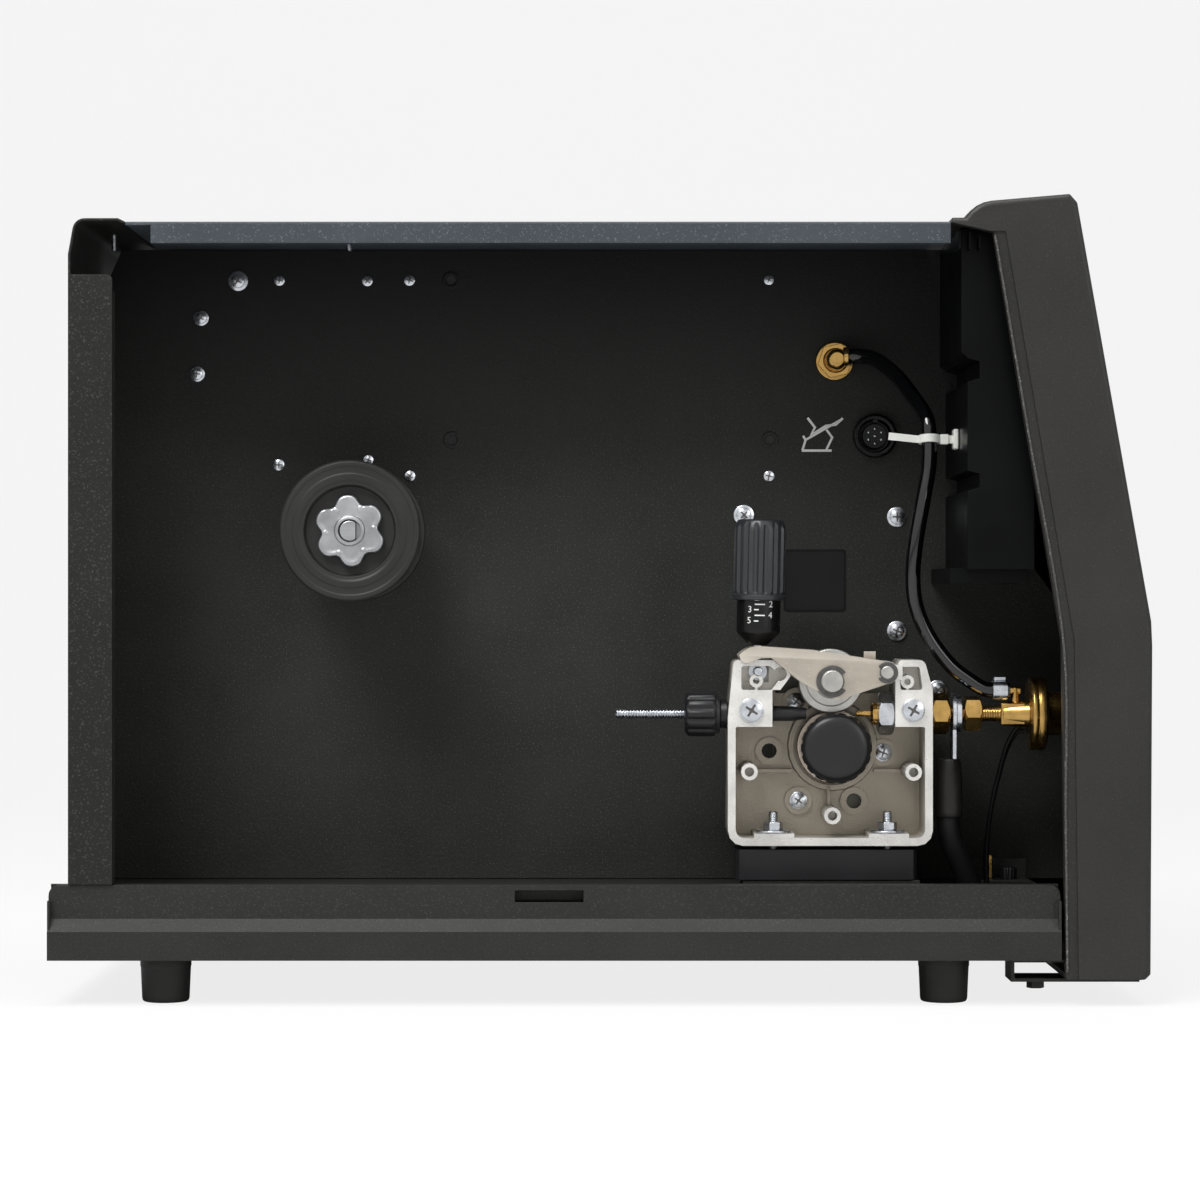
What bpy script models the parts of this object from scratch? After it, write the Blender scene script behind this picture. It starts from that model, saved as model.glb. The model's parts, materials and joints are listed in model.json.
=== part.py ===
"""Wire feeder with its side door off: cabinet, spool hub, two-roll wire drive and torch connector.

Sizes are in millimetres and are scaled to metres when a mesh is made.  +X points to the front
bezel, -Y to the open side, +Z up; the origin is on the floor under the middle of the machine.
"""
import math

import bmesh
import bpy
from mathutils import Matrix, Vector

MM = 0.001
SEAT = 0.3  # clearance left between touching pieces

# Cabinet
CABINET_LENGTH = 589.0  # base pan, end to end
MACHINE_LENGTH = 646.0  # base pan's rear end to the torch socket's front
DEPTH = 300.0
SHEET = 1.5
FOOT_HEIGHT = 23.5
FOOT_TOP_RADIUS = 15.0
FOOT_TOE_RADIUS = 13.8
FOOT_INSET_Y = 30.0
FOOT_X = (-257.6, 200.4)
PAN_BOTTOM_Z = 26.6
SILL_TOP_Z = 70.0
SILL_STEP_Z = 50.4
SILL_SLOPE_DROP = 7.0
SILL_STEP_OUT = 6.0
SILL_LIP_DEPTH = 11.0
SILL_CORNER = 6.0
FLOOR_DROP = 8.0  # floor below the sill's top
PAN_RETURN = 46.0
CABINET_TOP_Z = 456.2
REAR_SKIN_X = -311.4
REAR_TOP_REACH = 33.0
REAR_ROLL = 7.0  # bend between the rear skin and its top
REAR_LEAN = 2.6  # how far the skin leans in below that bend
POST_WIDTH = 25.8
POST_HEIGHT = 354.0
REAR_TOP_RISE = 1.9
COVER_LIP_DROP = 12.4
COVER_LIP_LEFT = -263.4
COVER_LIP_RIGHT = 202.4
PARTITION_Y = 0.0
PARTITION_RIGHT_X = 206.0

# Front bezel
BEZEL_WALL = 3.5
BEZEL_BOTTOM_Z = 15.4
BEZEL_PEAK_Z = 472.0
BEZEL_KNEE_Z = 215.5
BEZEL_FRONT_X = 319.0
BEZEL_PEAK_X = 273.0
BEZEL_BACK_TOP_X = 202.5
BEZEL_BAND = 50.0
BEZEL_RIM = 9.0
BEZEL_ROUND = 12.0  # rounding of the outer edges of its two sides
BEZEL_GROOVE = 7.0  # stepped band along the inner edge of each side
BEZEL_ARCH = 20.0  # arch over the inner housing

# Spool hub
HUB_X = -150.8
HUB_Z = 277.2
HUB_FRONT_Y = -102.0
HUB_CAP_RADIUS = 42.2
HUB_CAP_THICK = 8.0
HUB_RECESS_RADIUS = 27.3
MANDREL_RADIUS = 25.0
MANDREL_LENGTH = 48.0
HUB_FLANGE_THICK = 5.0
SPINDLE_RADIUS = 6.4
BRAKE_POCKET = 17.0
STAR_FRONT_Y = -103.0
STAR_TIP_RADIUS = 21.4
STAR_VALLEY_RADIUS = 16.8
STAR_LOBES = 6
STAR_THICK = 6.0

# Wire drive: everything is placed from the drive roller's axis
DRIVE_X = 139.7
DRIVE_Z = 147.2
DRIVE_FRONT_Y = -88.0
DRIVE_ROLLER_RADIUS = 20.0
PRESSURE_ROLLER_RADIUS = 19.4
ROLLER_WIDTH = 12.0
WIRE_Y = -75.0
WIRE_RISE = 20.4
CASTING_DEPTH = 45.0
CASTING_WALL = 4.6
CASTING_BACK = 5.0
CASTING_LEFT = 65.1
CASTING_RIGHT = 57.5
CASTING_BELOW = 58.3
CASTING_ABOVE = 52.9
CASTING_CORNER = 9.0
CLAMP_LOW = 12.9  # clamp blocks, from the roller axis
CLAMP_HIGH = 32.0
CLAMP_LEFT_X = -38.5
CLAMP_RIGHT_X = 35.1
EAR_LEFT_X = -36.0
EAR_RIGHT_X = 35.1
EAR_POCKET = 14.0
BEARING_RING = 24.0
PAD_HEIGHT = 7.2
COVER_BOSSES = ((-52.2, -14.1), (46.1, -14.4), (-2.5, -40.4))
EAR_BOSSES = ((-48.1, 40.4), (42.4, 39.8))
GEARBOX_SCREWS = ((-22.3, 27.0), (30.7, -4.2), (-20.9, -33.3))
DRAIN_HOLES = ((-38.6, -3.1), (13.0, -33.6))
STUD_X = (-37.4, 31.2)
STUD_Y = -76.0
STUD_RADIUS = 3.0
BASE_TOP_Z = 86.5
BASE_LOW_Z = 68.3
GEARBOX_RADIUS = 24.0
MOTOR_RADIUS = 31.0
MOTOR_LENGTH = 92.0
SHAFT_RADIUS = 5.0
ROLLER_CAP_RADIUS = 21.2
ROLLER_CAP_FRONT_Y = -91.0
ROLLER_GAP = 0.9  # room for the wire between the rollers

# Pressure arm, its pins and the tension handle
ARM_WIDTH = 37.0
ARM_SHEET = 2.0
ARM_PIN_X = 29.8
ARM_PIN_Z = 45.5
ARM_PIN_RADIUS = 4.2
ARM_END_RADIUS = 6.5
PRESSURE_OFFSET = -3.0
AXLE_RADIUS = 6.9
HANDLE_PIN_X = -46.9
HANDLE_PIN_Z = 46.0
HANDLE_PIN_RADIUS = 2.5
HANDLE_LEAN = 1.2
SADDLE_RADIUS = 15.3
ROD_RADIUS = 3.1
ROD_EYE_RADIUS = 5.6
ROD_EYE_WIDTH = 10.0
PLUNGER_RADIUS = 13.2
PLUNGER_SHOWN = 27.0
CAP_RADIUS = 15.6
CAP_LENGTH = 48.6
CAP_FLUTES = 12

# Wire line
GUIDE_RADIUS = 7.0
GUIDE_BORE = 3.6
GUIDE_TIP_X = -17.7
LINER_RADIUS = 3.2
LINER_LENGTH = 79.0
LINER_PITCH = 7.9
INLET_NUT_LENGTH = 21.0
OUTLET_LEFT_X = 21.6
OUTLET_RADIUS = 6.8
ADAPTER_SPLIT_X = 208.6
ADAPTER_ROD_RADIUS = 4.9
ADAPTER_BLOCK_X = 239.0
ADAPTER_DISC_RADIUS = 22.3
SOCKET_BORE = 9.0
SOCKET_BORE_WALL = 13.0
SOCKET_NECK = 19.0

# Control panel and inner housing
PANEL_TOP_X = 262.0
PANEL_LOW_X = 303.0
PANEL_THICK = 3.0
PANEL_HOOD = 14.0
KNOB_RADIUS = 15.0
KNOB_HEIGHT = 13.0
KNOB_RISES = {"speed_knob": 95.0, "voltage_knob": 45.0}  # up the slope from the panel's foot
HOUSING_LEFT_X = 210.0
HOUSING_RIGHT_X = 253.0
HOUSING_LOW_Z = 254.0
HOUSING_REACH = 128.0
HOUSING_STEP = 3.6

# Sockets, gas and cables
GAS_PORT_X = 144.5
GAS_PORT_Z = 384.9
GAS_PORT_RING = 12.0
GAS_PORT_THREAD = 6.5
GAS_HOSE_RADIUS = 4.6
GAS_HOSE_BORE = 2.4
REMOTE_X = 169.4
REMOTE_Z = 338.2
REMOTE_RING = 13.6
REMOTE_BODY = 11.0
TIE_SPOT = (196.2, -76.0, 332.6)
HOSE_END_RISE = 14.0
GAS_ROUTE = (
    (152.0, -18.0, 386.6), (158.0, -18.4, 386.8), (168.0, -27.0, 384.0), (180.0, -42.0, 372.6),
    (188.4, -56.0, 359.4), (194.8, -71.6, 346.0), (196.2, -76.0, 332.6), (195.6, -78.6, 316.0),
    (192.0, -82.0, 296.2), (187.8, -82.0, 272.2), (186.0, -80.0, 251.0), (188.0, -78.0, 232.6),
    (196.0, -76.0, 214.0), (209.0, -75.0, 196.8), (221.0, -75.0, 187.4), (229.0, -75.0, 182.6),
    (235.0, -75.0, 181.6), (244.6, -75.0, 181.6),
)
WELD_ROUTE = (
    (208.4, -72.0, 105.0), (208.4, -72.0, 99.0), (211.0, -70.0, 88.0), (217.0, -66.0, 75.0),
    (222.6, -62.0, 62.0), (225.0, -61.0, 52.0),
)
WELD_CABLE_RADIUS = 7.0
LUG_DROP = 27.0  # lug plate, from the wire line down to its crimp
TRIGGER_ROUTE = (
    (255.4, -60.0, 160.0), (252.0, -60.0, 160.0), (245.6, -57.0, 149.0), (240.5, -50.0, 128.0),
    (237.0, -46.0, 110.0), (235.0, -40.0, 88.0), (235.0, -38.0, 66.0),
    (235.0, -38.0, 52.0),
)
GAS_VALVE_Y = 60.0
GAS_VALVE_Z = 130.0
BOARD_LEFT_X = -120.0
BOARD_LOW_Z = 300.0
BOARD_WIDTH = 150.0
BOARD_HEIGHT = 120.0
PARTITION_PILOT_HOLES = ((-94.9, 435.5), (-94.2, 335.8), (104.0, 335.8))

# ---------------------------------------------------------------- tools


def start_clean():
    for thing in list(bpy.data.objects):
        bpy.data.objects.remove(thing, do_unlink=True)


def material(name, colour, roughness, metallic=0.0):
    made = bpy.data.materials.get(name)
    if made is None:
        made = bpy.data.materials.new(name)
        made.use_nodes = True
        shader = made.node_tree.nodes["Principled BSDF"]
        shader.inputs["Base Color"].default_value = (*colour, 1.0)
        shader.inputs["Roughness"].default_value = roughness
        shader.inputs["Metallic"].default_value = metallic
    return made


PAINTS = {
    "powder_coat": ((0.05, 0.05, 0.05), 0.5, 0.0),
    "black_plastic": ((0.03, 0.03, 0.03), 0.45, 0.0),
    "cast_aluminium": ((0.62, 0.6, 0.56), 0.45, 1.0),
    "zinc_steel": ((0.65, 0.66, 0.66), 0.3, 1.0),
    "bronze_steel": ((0.5, 0.44, 0.34), 0.4, 1.0),
    "brass": ((0.8, 0.6, 0.3), 0.3, 1.0),
    "rubber": ((0.02, 0.02, 0.02), 0.6, 0.0),
    "white_nylon": ((0.85, 0.85, 0.83), 0.5, 0.0),
    "circuit_board": ((0.05, 0.25, 0.1), 0.5, 0.0),
}


def outward(bm):
    """Point every face out of the solid."""
    bmesh.ops.recalc_face_normals(bm, faces=bm.faces)
    if bm.calc_volume(signed=True) < 0:
        bmesh.ops.reverse_faces(bm, faces=bm.faces)
    return bm


def node(name, mesh_maker, paint):
    """Turn a bmesh in millimetres into a named object in metres."""
    outward(mesh_maker)
    bmesh.ops.scale(mesh_maker, vec=(MM, MM, MM), verts=mesh_maker.verts)
    mesh = bpy.data.meshes.new(name)
    mesh_maker.to_mesh(mesh)
    mesh_maker.free()
    mesh.materials.append(material(paint, *PAINTS[paint]))
    mesh.shade_smooth()
    mesh.set_sharp_from_angle(angle=math.radians(35))
    made = bpy.data.objects.new(name, mesh)
    bpy.context.scene.collection.objects.link(made)
    return made


def arc(centre, radius, start, end, steps):
    """Points on an arc in a plane; angles in degrees, anticlockwise from the first axis."""
    turn = [math.radians(start + (end - start) * i / steps) for i in range(steps + 1)]
    return [(centre[0] + radius * math.cos(a), centre[1] + radius * math.sin(a)) for a in turn]


def circle(centre, radius, steps=20):
    return arc(centre, radius, 0, 360, steps)[:-1]


def rectangle(low, high, corner=0.0, steps=3):
    (x0, z0), (x1, z1) = low, high
    if corner <= 0:
        return [(x0, z0), (x1, z0), (x1, z1), (x0, z1)]
    r = corner
    return (
        arc((x1 - r, z0 + r), r, -90, 0, steps)
        + arc((x1 - r, z1 - r), r, 0, 90, steps)
        + arc((x0 + r, z1 - r), r, 90, 180, steps)
        + arc((x0 + r, z0 + r), r, 180, 270, steps)
    )


def rounded(points, radii, steps=3):
    """Closed outline with each corner rounded by its own radius."""
    out = []
    count = len(points)
    for i, point in enumerate(points):
        radius = radii[i] if isinstance(radii, (list, tuple)) else radii
        here = Vector(point)
        back = (Vector(points[i - 1]) - here)
        ahead = (Vector(points[(i + 1) % count]) - here)
        if radius <= 0:
            out.append(tuple(here))
            continue
        half = back.angle(ahead) / 2
        reach = min(radius / math.tan(half), back.length * 0.49, ahead.length * 0.49)
        size = reach * math.tan(half)
        middle = here + (back.normalized() + ahead.normalized()).normalized() * size / math.sin(half)
        first = here + back.normalized() * reach - middle
        last = here + ahead.normalized() * reach - middle
        begin = math.atan2(first.y, first.x)
        sweep = math.atan2(last.y, last.x) - begin
        sweep = (sweep + math.pi) % (2 * math.pi) - math.pi
        for step in range(steps + 1):
            a = begin + sweep * step / steps
            out.append((middle.x + size * math.cos(a), middle.y + size * math.sin(a)))
    return out


AXES = {
    "X": lambda u, v, w: (w, u, v),  # outline in Y, Z
    "Y": lambda u, v, w: (u, w, v),  # outline in X, Z
    "Z": lambda u, v, w: (u, v, w),  # outline in X, Y
}


def slab(outline, low, high, axis="Y", holes=()):
    """Prism of a closed outline, with holes right through it, between two places on an axis."""
    place = AXES[axis]
    bm = bmesh.new()
    for loop in (outline, *holes):
        ring = [bm.verts.new(place(u, v, low)) for u, v in loop]
        for i, corner in enumerate(ring):
            bm.edges.new((corner, ring[(i + 1) % len(ring)]))
    bmesh.ops.triangle_fill(bm, use_beauty=True, use_dissolve=False, edges=bm.edges[:])
    made = bmesh.ops.extrude_face_region(bm, geom=bm.faces[:])
    lift = Vector(place(0, 0, high)) - Vector(place(0, 0, low))
    moved = [g for g in made["geom"] if isinstance(g, bmesh.types.BMVert)]
    bmesh.ops.translate(bm, vec=lift, verts=moved)
    return outward(bm)


def turned(profile, centre, axis="Y", steps=20):
    """Solid of revolution: profile is (distance along the axis, radius), from end to end."""
    place = AXES[axis]
    bm = bmesh.new()
    rings = []
    for along, radius in profile:
        if radius <= 1e-6:
            rings.append(None)
        else:
            rings.append([bm.verts.new(place(u, v, along)) for u, v in circle(centre, radius, steps)])
    pairs = list(zip(rings, rings[1:]))
    if rings[0] and rings[-1]:
        pairs.append((rings[-1], rings[0]))
    for first, second in pairs:
        if first is None or second is None:
            bm.faces.new(first or second)
            continue
        for i in range(steps):
            j = (i + 1) % steps
            bm.faces.new((first[i], first[j], second[j], second[i]))
    return outward(bm)


def rod(low, high, radius, centre, axis="Y", steps=16, chamfer=0.0, bore=0.0):
    """Cylinder, chamfered at both ends and bored through if asked."""
    c = chamfer
    profile = [(low, radius - c), (low + c, radius), (high - c, radius), (high, radius - c)]
    if c <= 0:
        profile = [(low, radius), (high, radius)]
    if bore > 0:
        profile = [(low, bore), *profile, (high, bore)]
    else:
        profile = [(low, 0.0), *profile, (high, 0.0)]
    return turned(profile, centre, axis, steps)


def block(low, high, bevel=0.0, steps=1):
    bm = bmesh.new()
    bmesh.ops.create_cube(bm, size=1.0)
    size = [b - a for a, b in zip(low, high)]
    middle = [(a + b) / 2 for a, b in zip(low, high)]
    bmesh.ops.scale(bm, vec=size, verts=bm.verts)
    bmesh.ops.translate(bm, vec=middle, verts=bm.verts)
    if bevel > 0:
        bmesh.ops.bevel(bm, geom=bm.edges[:], offset=bevel, segments=steps, affect="EDGES", profile=0.5)
    return bm


def spun(bm, degrees, centre, axis="Y"):
    pivot = Vector(centre)
    turn = Matrix.Translation(pivot) @ Matrix.Rotation(math.radians(degrees), 4, axis)
    bmesh.ops.transform(bm, matrix=turn @ Matrix.Translation(-pivot), verts=bm.verts)
    return bm


def mixed(base, tools, operation):
    """Join or cut bmesh solids with exact Booleans and hand back one bmesh."""
    shapes = []
    for bm in (base, *tools):
        mesh = bpy.data.meshes.new("shape")
        bm.to_mesh(mesh)
        bm.free()
        shape = bpy.data.objects.new("shape", mesh)
        bpy.context.scene.collection.objects.link(shape)
        shapes.append(shape)
    for tool in shapes[1:]:
        step = shapes[0].modifiers.new("step", "BOOLEAN")
        step.operation = operation
        step.solver = "EXACT"
        step.object = tool
    bpy.context.view_layer.update()
    seen = shapes[0].evaluated_get(bpy.context.evaluated_depsgraph_get())
    result = bmesh.new()
    result.from_mesh(seen.to_mesh())
    seen.to_mesh_clear()
    for shape in shapes:
        mesh = shape.data
        bpy.data.objects.remove(shape, do_unlink=True)
        bpy.data.meshes.remove(mesh)
    return result


def joined(base, *tools):
    return mixed(base, tools, "UNION")


def cut(base, *tools):
    return mixed(base, tools, "DIFFERENCE")


def sheet(path, thick):
    """Outline of a bent sheet: a path of points on one face, offset to its left by the thickness."""
    offset = []
    for i, point in enumerate(path):
        here = Vector(point)
        sides = []
        if i:
            sides.append((here - Vector(path[i - 1])).normalized())
        if i < len(path) - 1:
            sides.append((Vector(path[i + 1]) - here).normalized())
        normals = [Vector((-s.y, s.x)) for s in sides]
        mean = sum(normals, Vector((0.0, 0.0))).normalized()
        offset.append(tuple(here + mean * thick / max(mean.dot(normals[0]), 0.2)))
    return list(path) + offset[::-1]


def smooth_route(points, spacing):
    """Catmull-Rom curve through a route's own points, resampled at an even spacing."""
    pts = [Vector(p) for p in points]
    pts = [2 * pts[0] - pts[1], *pts, 2 * pts[-1] - pts[-2]]
    fine = []
    for i in range(1, len(pts) - 2):
        a, b, c, d = pts[i - 1:i + 3]
        for step in range(24):
            t = step / 24
            fine.append(0.5 * (2 * b + (c - a) * t + (2 * a - 5 * b + 4 * c - d) * t * t
                               + (3 * b - a - 3 * c + d) * t ** 3))
    fine.append(pts[-2])
    length = sum((b - a).length for a, b in zip(fine, fine[1:]))
    count = max(3, round(length / spacing))
    out = [fine[0]]
    walked = 0.0
    for a, b in zip(fine, fine[1:]):
        walked += (b - a).length
        if walked >= length / count * len(out) and len(out) < count:
            out.append(b)
    out.append(fine[-1])
    return out


def tube(name, route, radius, paint, spacing, rings=2):
    """A bevelled curve along a smooth route, with filled ends."""
    data = bpy.data.curves.new(name, "CURVE")
    data.dimensions = "3D"
    data.bevel_depth = radius * MM
    data.bevel_resolution = rings
    data.use_fill_caps = True
    data.render_resolution_u = 0
    points = smooth_route(route, spacing)
    line = data.splines.new("POLY")
    line.points.add(len(points) - 1)
    for slot, point in zip(line.points, points):
        slot.co = (*(point * MM), 1.0)
    data.materials.append(material(paint, *PAINTS[paint]))
    made = bpy.data.objects.new(name, data)
    bpy.context.scene.collection.objects.link(made)
    return made


def wound(name, route, radius, paint):
    """An unbroken wound tube along points computed for its turns."""
    data = bpy.data.curves.new(name, "CURVE")
    data.dimensions = "3D"
    data.bevel_depth = radius * MM
    data.bevel_resolution = 1
    data.use_fill_caps = True
    data.render_resolution_u = 0
    line = data.splines.new("POLY")
    line.points.add(len(route) - 1)
    for slot, point in zip(line.points, route):
        slot.co = (*[c * MM for c in point], 1.0)
    data.materials.append(material(paint, *PAINTS[paint]))
    made = bpy.data.objects.new(name, data)
    bpy.context.scene.collection.objects.link(made)
    return made


def set_origin(names, spot):
    """Put the origins of moving pieces on their joint's axis."""
    for name in names:
        made = bpy.data.objects[name]
        made.data.transform(Matrix.Translation(Vector(spot) * -MM))
        made.location = Vector(spot) * MM


# ---------------------------------------------------------------- cabinet

SIDE_Y = DEPTH / 2
PAN_LEFT_X = -MACHINE_LENGTH / 2
PAN_RIGHT_X = PAN_LEFT_X + CABINET_LENGTH
FLOOR_Z = SILL_TOP_Z - FLOOR_DROP
SILL_FACE_Y = -SIDE_Y + SILL_STEP_OUT


def base_pan():
    """Floor with a raised, folded door sill along the open side and a skirt all round."""
    lip_back = SILL_FACE_Y + SILL_LIP_DEPTH
    bend = [
        (-SIDE_Y + PAN_RETURN, PAN_BOTTOM_Z),
        (-SIDE_Y, PAN_BOTTOM_Z),
        (-SIDE_Y, SILL_STEP_Z - SILL_SLOPE_DROP),
        (SILL_FACE_Y, SILL_STEP_Z),
        (SILL_FACE_Y, SILL_TOP_Z),
        (lip_back, SILL_TOP_Z),
        (lip_back, FLOOR_Z),
        (SIDE_Y, FLOOR_Z),
        (SIDE_Y, PAN_BOTTOM_Z),
        (SIDE_Y - PAN_RETURN, PAN_BOTTOM_Z),
    ]
    pan = slab(sheet(bend, -SHEET), PAN_LEFT_X, PAN_RIGHT_X, "X")
    skirt = rectangle((-SIDE_Y + SHEET / 2, PAN_BOTTOM_Z + SHEET / 2), (SIDE_Y - SHEET / 2, FLOOR_Z - SHEET / 2))
    ends = [slab(skirt, x, x + SHEET, "X") for x in (PAN_LEFT_X, PAN_RIGHT_X - SHEET)]
    corner_cuts = []
    for x, side in ((PAN_LEFT_X, 1), (PAN_RIGHT_X, -1)):
        r = SILL_CORNER
        centre = (x + side * r, SILL_TOP_Z - r)
        bow = arc(centre, r, 90, 180, 5) if side > 0 else arc(centre, r, 90, 0, 5)
        outline = [(x - side, SILL_TOP_Z + 1), (centre[0], SILL_TOP_Z + 1), *bow, (x - side, SILL_TOP_Z - r)]
        corner_cuts.append(slab(outline, -SIDE_Y - 1, lip_back - SHEET - SEAT))
    slot_x = (PAN_LEFT_X + PAN_RIGHT_X) / 2 - 3
    slot = block((slot_x - 20, SILL_FACE_Y - 1, SILL_TOP_Z - 10), (slot_x + 20, SILL_FACE_Y + SHEET + 1, SILL_TOP_Z - 3))
    grommets = [
        rod(FLOOR_Z - 5, FLOOR_Z + 5, WELD_CABLE_RADIUS + 3, WELD_ROUTE[-2][:2], "Z", 16),
        rod(FLOOR_Z - 5, FLOOR_Z + 5, 7.0, (TRIGGER_ROUTE[-1][0], TRIGGER_ROUTE[-1][1] + 2), "Z", 12),
    ]
    return node("base_pan", cut(joined(pan, *ends), *corner_cuts, slot, *grommets), "powder_coat")


def feet():
    for row, y in (("front", -SIDE_Y + FOOT_INSET_Y), ("back", SIDE_Y - FOOT_INSET_Y)):
        for place, x in zip(("rear", "nose"), FOOT_X):
            profile = [
                (0.0, 0.0),
                (0.0, FOOT_TOE_RADIUS - 2),
                (2.0, FOOT_TOE_RADIUS),
                (FOOT_HEIGHT - 1, FOOT_TOP_RADIUS),
                (FOOT_HEIGHT, FOOT_TOP_RADIUS - 1),
                (FOOT_HEIGHT, 4.0),
                (PAN_BOTTOM_Z - SEAT, 4.0),
                (PAN_BOTTOM_Z - SEAT, 0.0),
            ]
            node(f"foot_{row}_{place}", turned(profile, (x, y), "Z", 12), "rubber")


def rear_panel():
    """Rear skin rolled over at the top, with the front post flange it is screwed through."""
    inner = REAR_SKIN_X + SHEET
    top = CABINET_TOP_Z + REAR_TOP_RISE
    low = FLOOR_Z + SEAT
    roll = arc((REAR_SKIN_X + REAR_LEAN + REAR_ROLL, top - REAR_ROLL), REAR_ROLL, 172, 90, 5)
    path = [(REAR_SKIN_X, low), (REAR_SKIN_X, top - 3 * REAR_ROLL), *roll, (REAR_SKIN_X + REAR_TOP_REACH - 4, top),
            (REAR_SKIN_X + REAR_TOP_REACH, CABINET_TOP_Z)]
    skin = slab(sheet(path, -SHEET), -SIDE_Y + 4, SIDE_Y - 2 * SHEET - SEAT)
    post = slab(
        rounded([(REAR_SKIN_X, low), (REAR_SKIN_X + POST_WIDTH, low),
                 (REAR_SKIN_X + POST_WIDTH, low + POST_HEIGHT + 9), (REAR_SKIN_X, low + POST_HEIGHT + 9)],
                [0, 0, 3, 0]),
        -SIDE_Y + 4, -SIDE_Y + 4 + SHEET)
    inner_flange = block((inner + POST_WIDTH - 2 * SHEET, -SIDE_Y + 4.5, low),
                         (inner + POST_WIDTH - SHEET, -SIDE_Y + 16, low + POST_HEIGHT))
    inlet_hole = rod(inner - 10, inner + 10, 9.5, (GAS_VALVE_Y, GAS_VALVE_Z), "X", 20)
    over_sill = block((REAR_SKIN_X - 5, -SIDE_Y - 5, low - 5),
                      (inner + POST_WIDTH + 5, SILL_FACE_Y + SILL_LIP_DEPTH + SEAT, SILL_TOP_Z + SEAT))
    return node("rear_panel", cut(joined(skin, post, inner_flange), inlet_hole, over_sill), "powder_coat")


def cover():
    """Top and far side bent from one sheet, with a stiff folded lip over the open side."""
    front = -SIDE_Y + 5
    low = FLOOR_Z + SEAT
    path = [
        (front + 10, CABINET_TOP_Z - COVER_LIP_DROP),
        (front, CABINET_TOP_Z - COVER_LIP_DROP),
        (front, CABINET_TOP_Z - 1),
        (front + 1, CABINET_TOP_Z),
        (SIDE_Y - 3, CABINET_TOP_Z),
        (SIDE_Y - 0.5, CABINET_TOP_Z - 3),
        (SIDE_Y - 0.5, CABINET_TOP_Z - 30),
    ]
    left = REAR_SKIN_X + REAR_TOP_REACH + SEAT
    right = COVER_LIP_RIGHT - SEAT
    top = slab(sheet(path, -SHEET), left, right, "X")
    back_left = REAR_SKIN_X + SHEET + SEAT
    side = slab([(back_left, low), (BEZEL_FRONT_X - BEZEL_BAND - 4, low),
                 (BEZEL_FRONT_X - BEZEL_BAND - 5, BEZEL_KNEE_Z - 6),
                 (BEZEL_PEAK_X - BEZEL_BAND, CABINET_TOP_Z - 24),
                 (left, CABINET_TOP_Z - 20), (back_left, CABINET_TOP_Z - 20)],
                SIDE_Y - 0.5 - SHEET, SIDE_Y - 0.5)
    notch = block((left - 5, front - 5, CABINET_TOP_Z - COVER_LIP_DROP - 5),
                  (COVER_LIP_LEFT, front + 15, CABINET_TOP_Z - SHEET - 0.6))
    return node("cover", cut(joined(top, side), notch), "powder_coat")


def partition():
    """Upright wall between the wire bay and the electronics, flanged where it meets the floor."""
    low = FLOOR_Z + SEAT
    high = CABINET_TOP_Z - SHEET - SEAT
    left = REAR_SKIN_X + SHEET + SEAT
    holes = [
        circle((HUB_X, HUB_Z), SPINDLE_RADIUS + 3 + SEAT, 14),
        circle((DRIVE_X, DRIVE_Z), GEARBOX_RADIUS + 1, 20),
        circle((GAS_PORT_X, GAS_PORT_Z), GAS_PORT_THREAD + SEAT, 16),
        circle((REMOTE_X, REMOTE_Z), REMOTE_BODY + SEAT, 14),
    ]
    holes += [circle(spot, 1.6, 6) for spot in PARTITION_PILOT_HOLES]
    nose_x = PANEL_LOW_X - PANEL_THICK - 1
    outline = [(left, low), (nose_x, low), (nose_x, HOUSING_LOW_Z - 40), (PARTITION_RIGHT_X + 50, HOUSING_LOW_Z + 20),
               (PARTITION_RIGHT_X + 14, high), (left + REAR_LEAN + REAR_ROLL, high), (left, high - 3 * REAR_ROLL)]
    wall = slab(outline, PARTITION_Y, PARTITION_Y + SHEET, "Y", holes)
    foot = block((left + 4, PARTITION_Y + SHEET / 2, low), (PARTITION_RIGHT_X + 40, PARTITION_Y + 18, low + SHEET))
    head = block((left + REAR_LEAN + REAR_ROLL + 2, PARTITION_Y + SHEET / 2, high - SHEET), (PARTITION_RIGHT_X - 4, PARTITION_Y + 15, high))
    return node("partition", joined(wall, foot, head), "powder_coat")


# ---------------------------------------------------------------- front bezel


def bezel_lines():
    """Outer front line and the inner edge line of the bezel's side, both from top to bottom."""
    outer = [
        (BEZEL_BACK_TOP_X, CABINET_TOP_Z + 2),
        *arc((BEZEL_BACK_TOP_X + 25, CABINET_TOP_Z - 8), BEZEL_ARCH, 150, 95, 4),
        (BEZEL_PEAK_X - 2, BEZEL_PEAK_Z),
        (BEZEL_PEAK_X + 2.4, BEZEL_PEAK_Z - 5),
        (BEZEL_FRONT_X - 0.6, BEZEL_KNEE_Z + 8),
        (BEZEL_FRONT_X, BEZEL_KNEE_Z - 6),
        (BEZEL_FRONT_X - 1, BEZEL_BOTTOM_Z + 3),
        (BEZEL_FRONT_X - 4, BEZEL_BOTTOM_Z),
    ]
    inner = [
        (BEZEL_FRONT_X - BEZEL_BAND - 0.2, BEZEL_BOTTOM_Z),
        (BEZEL_FRONT_X - BEZEL_BAND - 2.7, BEZEL_KNEE_Z - 3),
        (BEZEL_PEAK_X - BEZEL_BAND + 3.5, CABINET_TOP_Z - 6.4),
        (BEZEL_BACK_TOP_X, CABINET_TOP_Z - 1),
    ]
    return outer, inner


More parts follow.
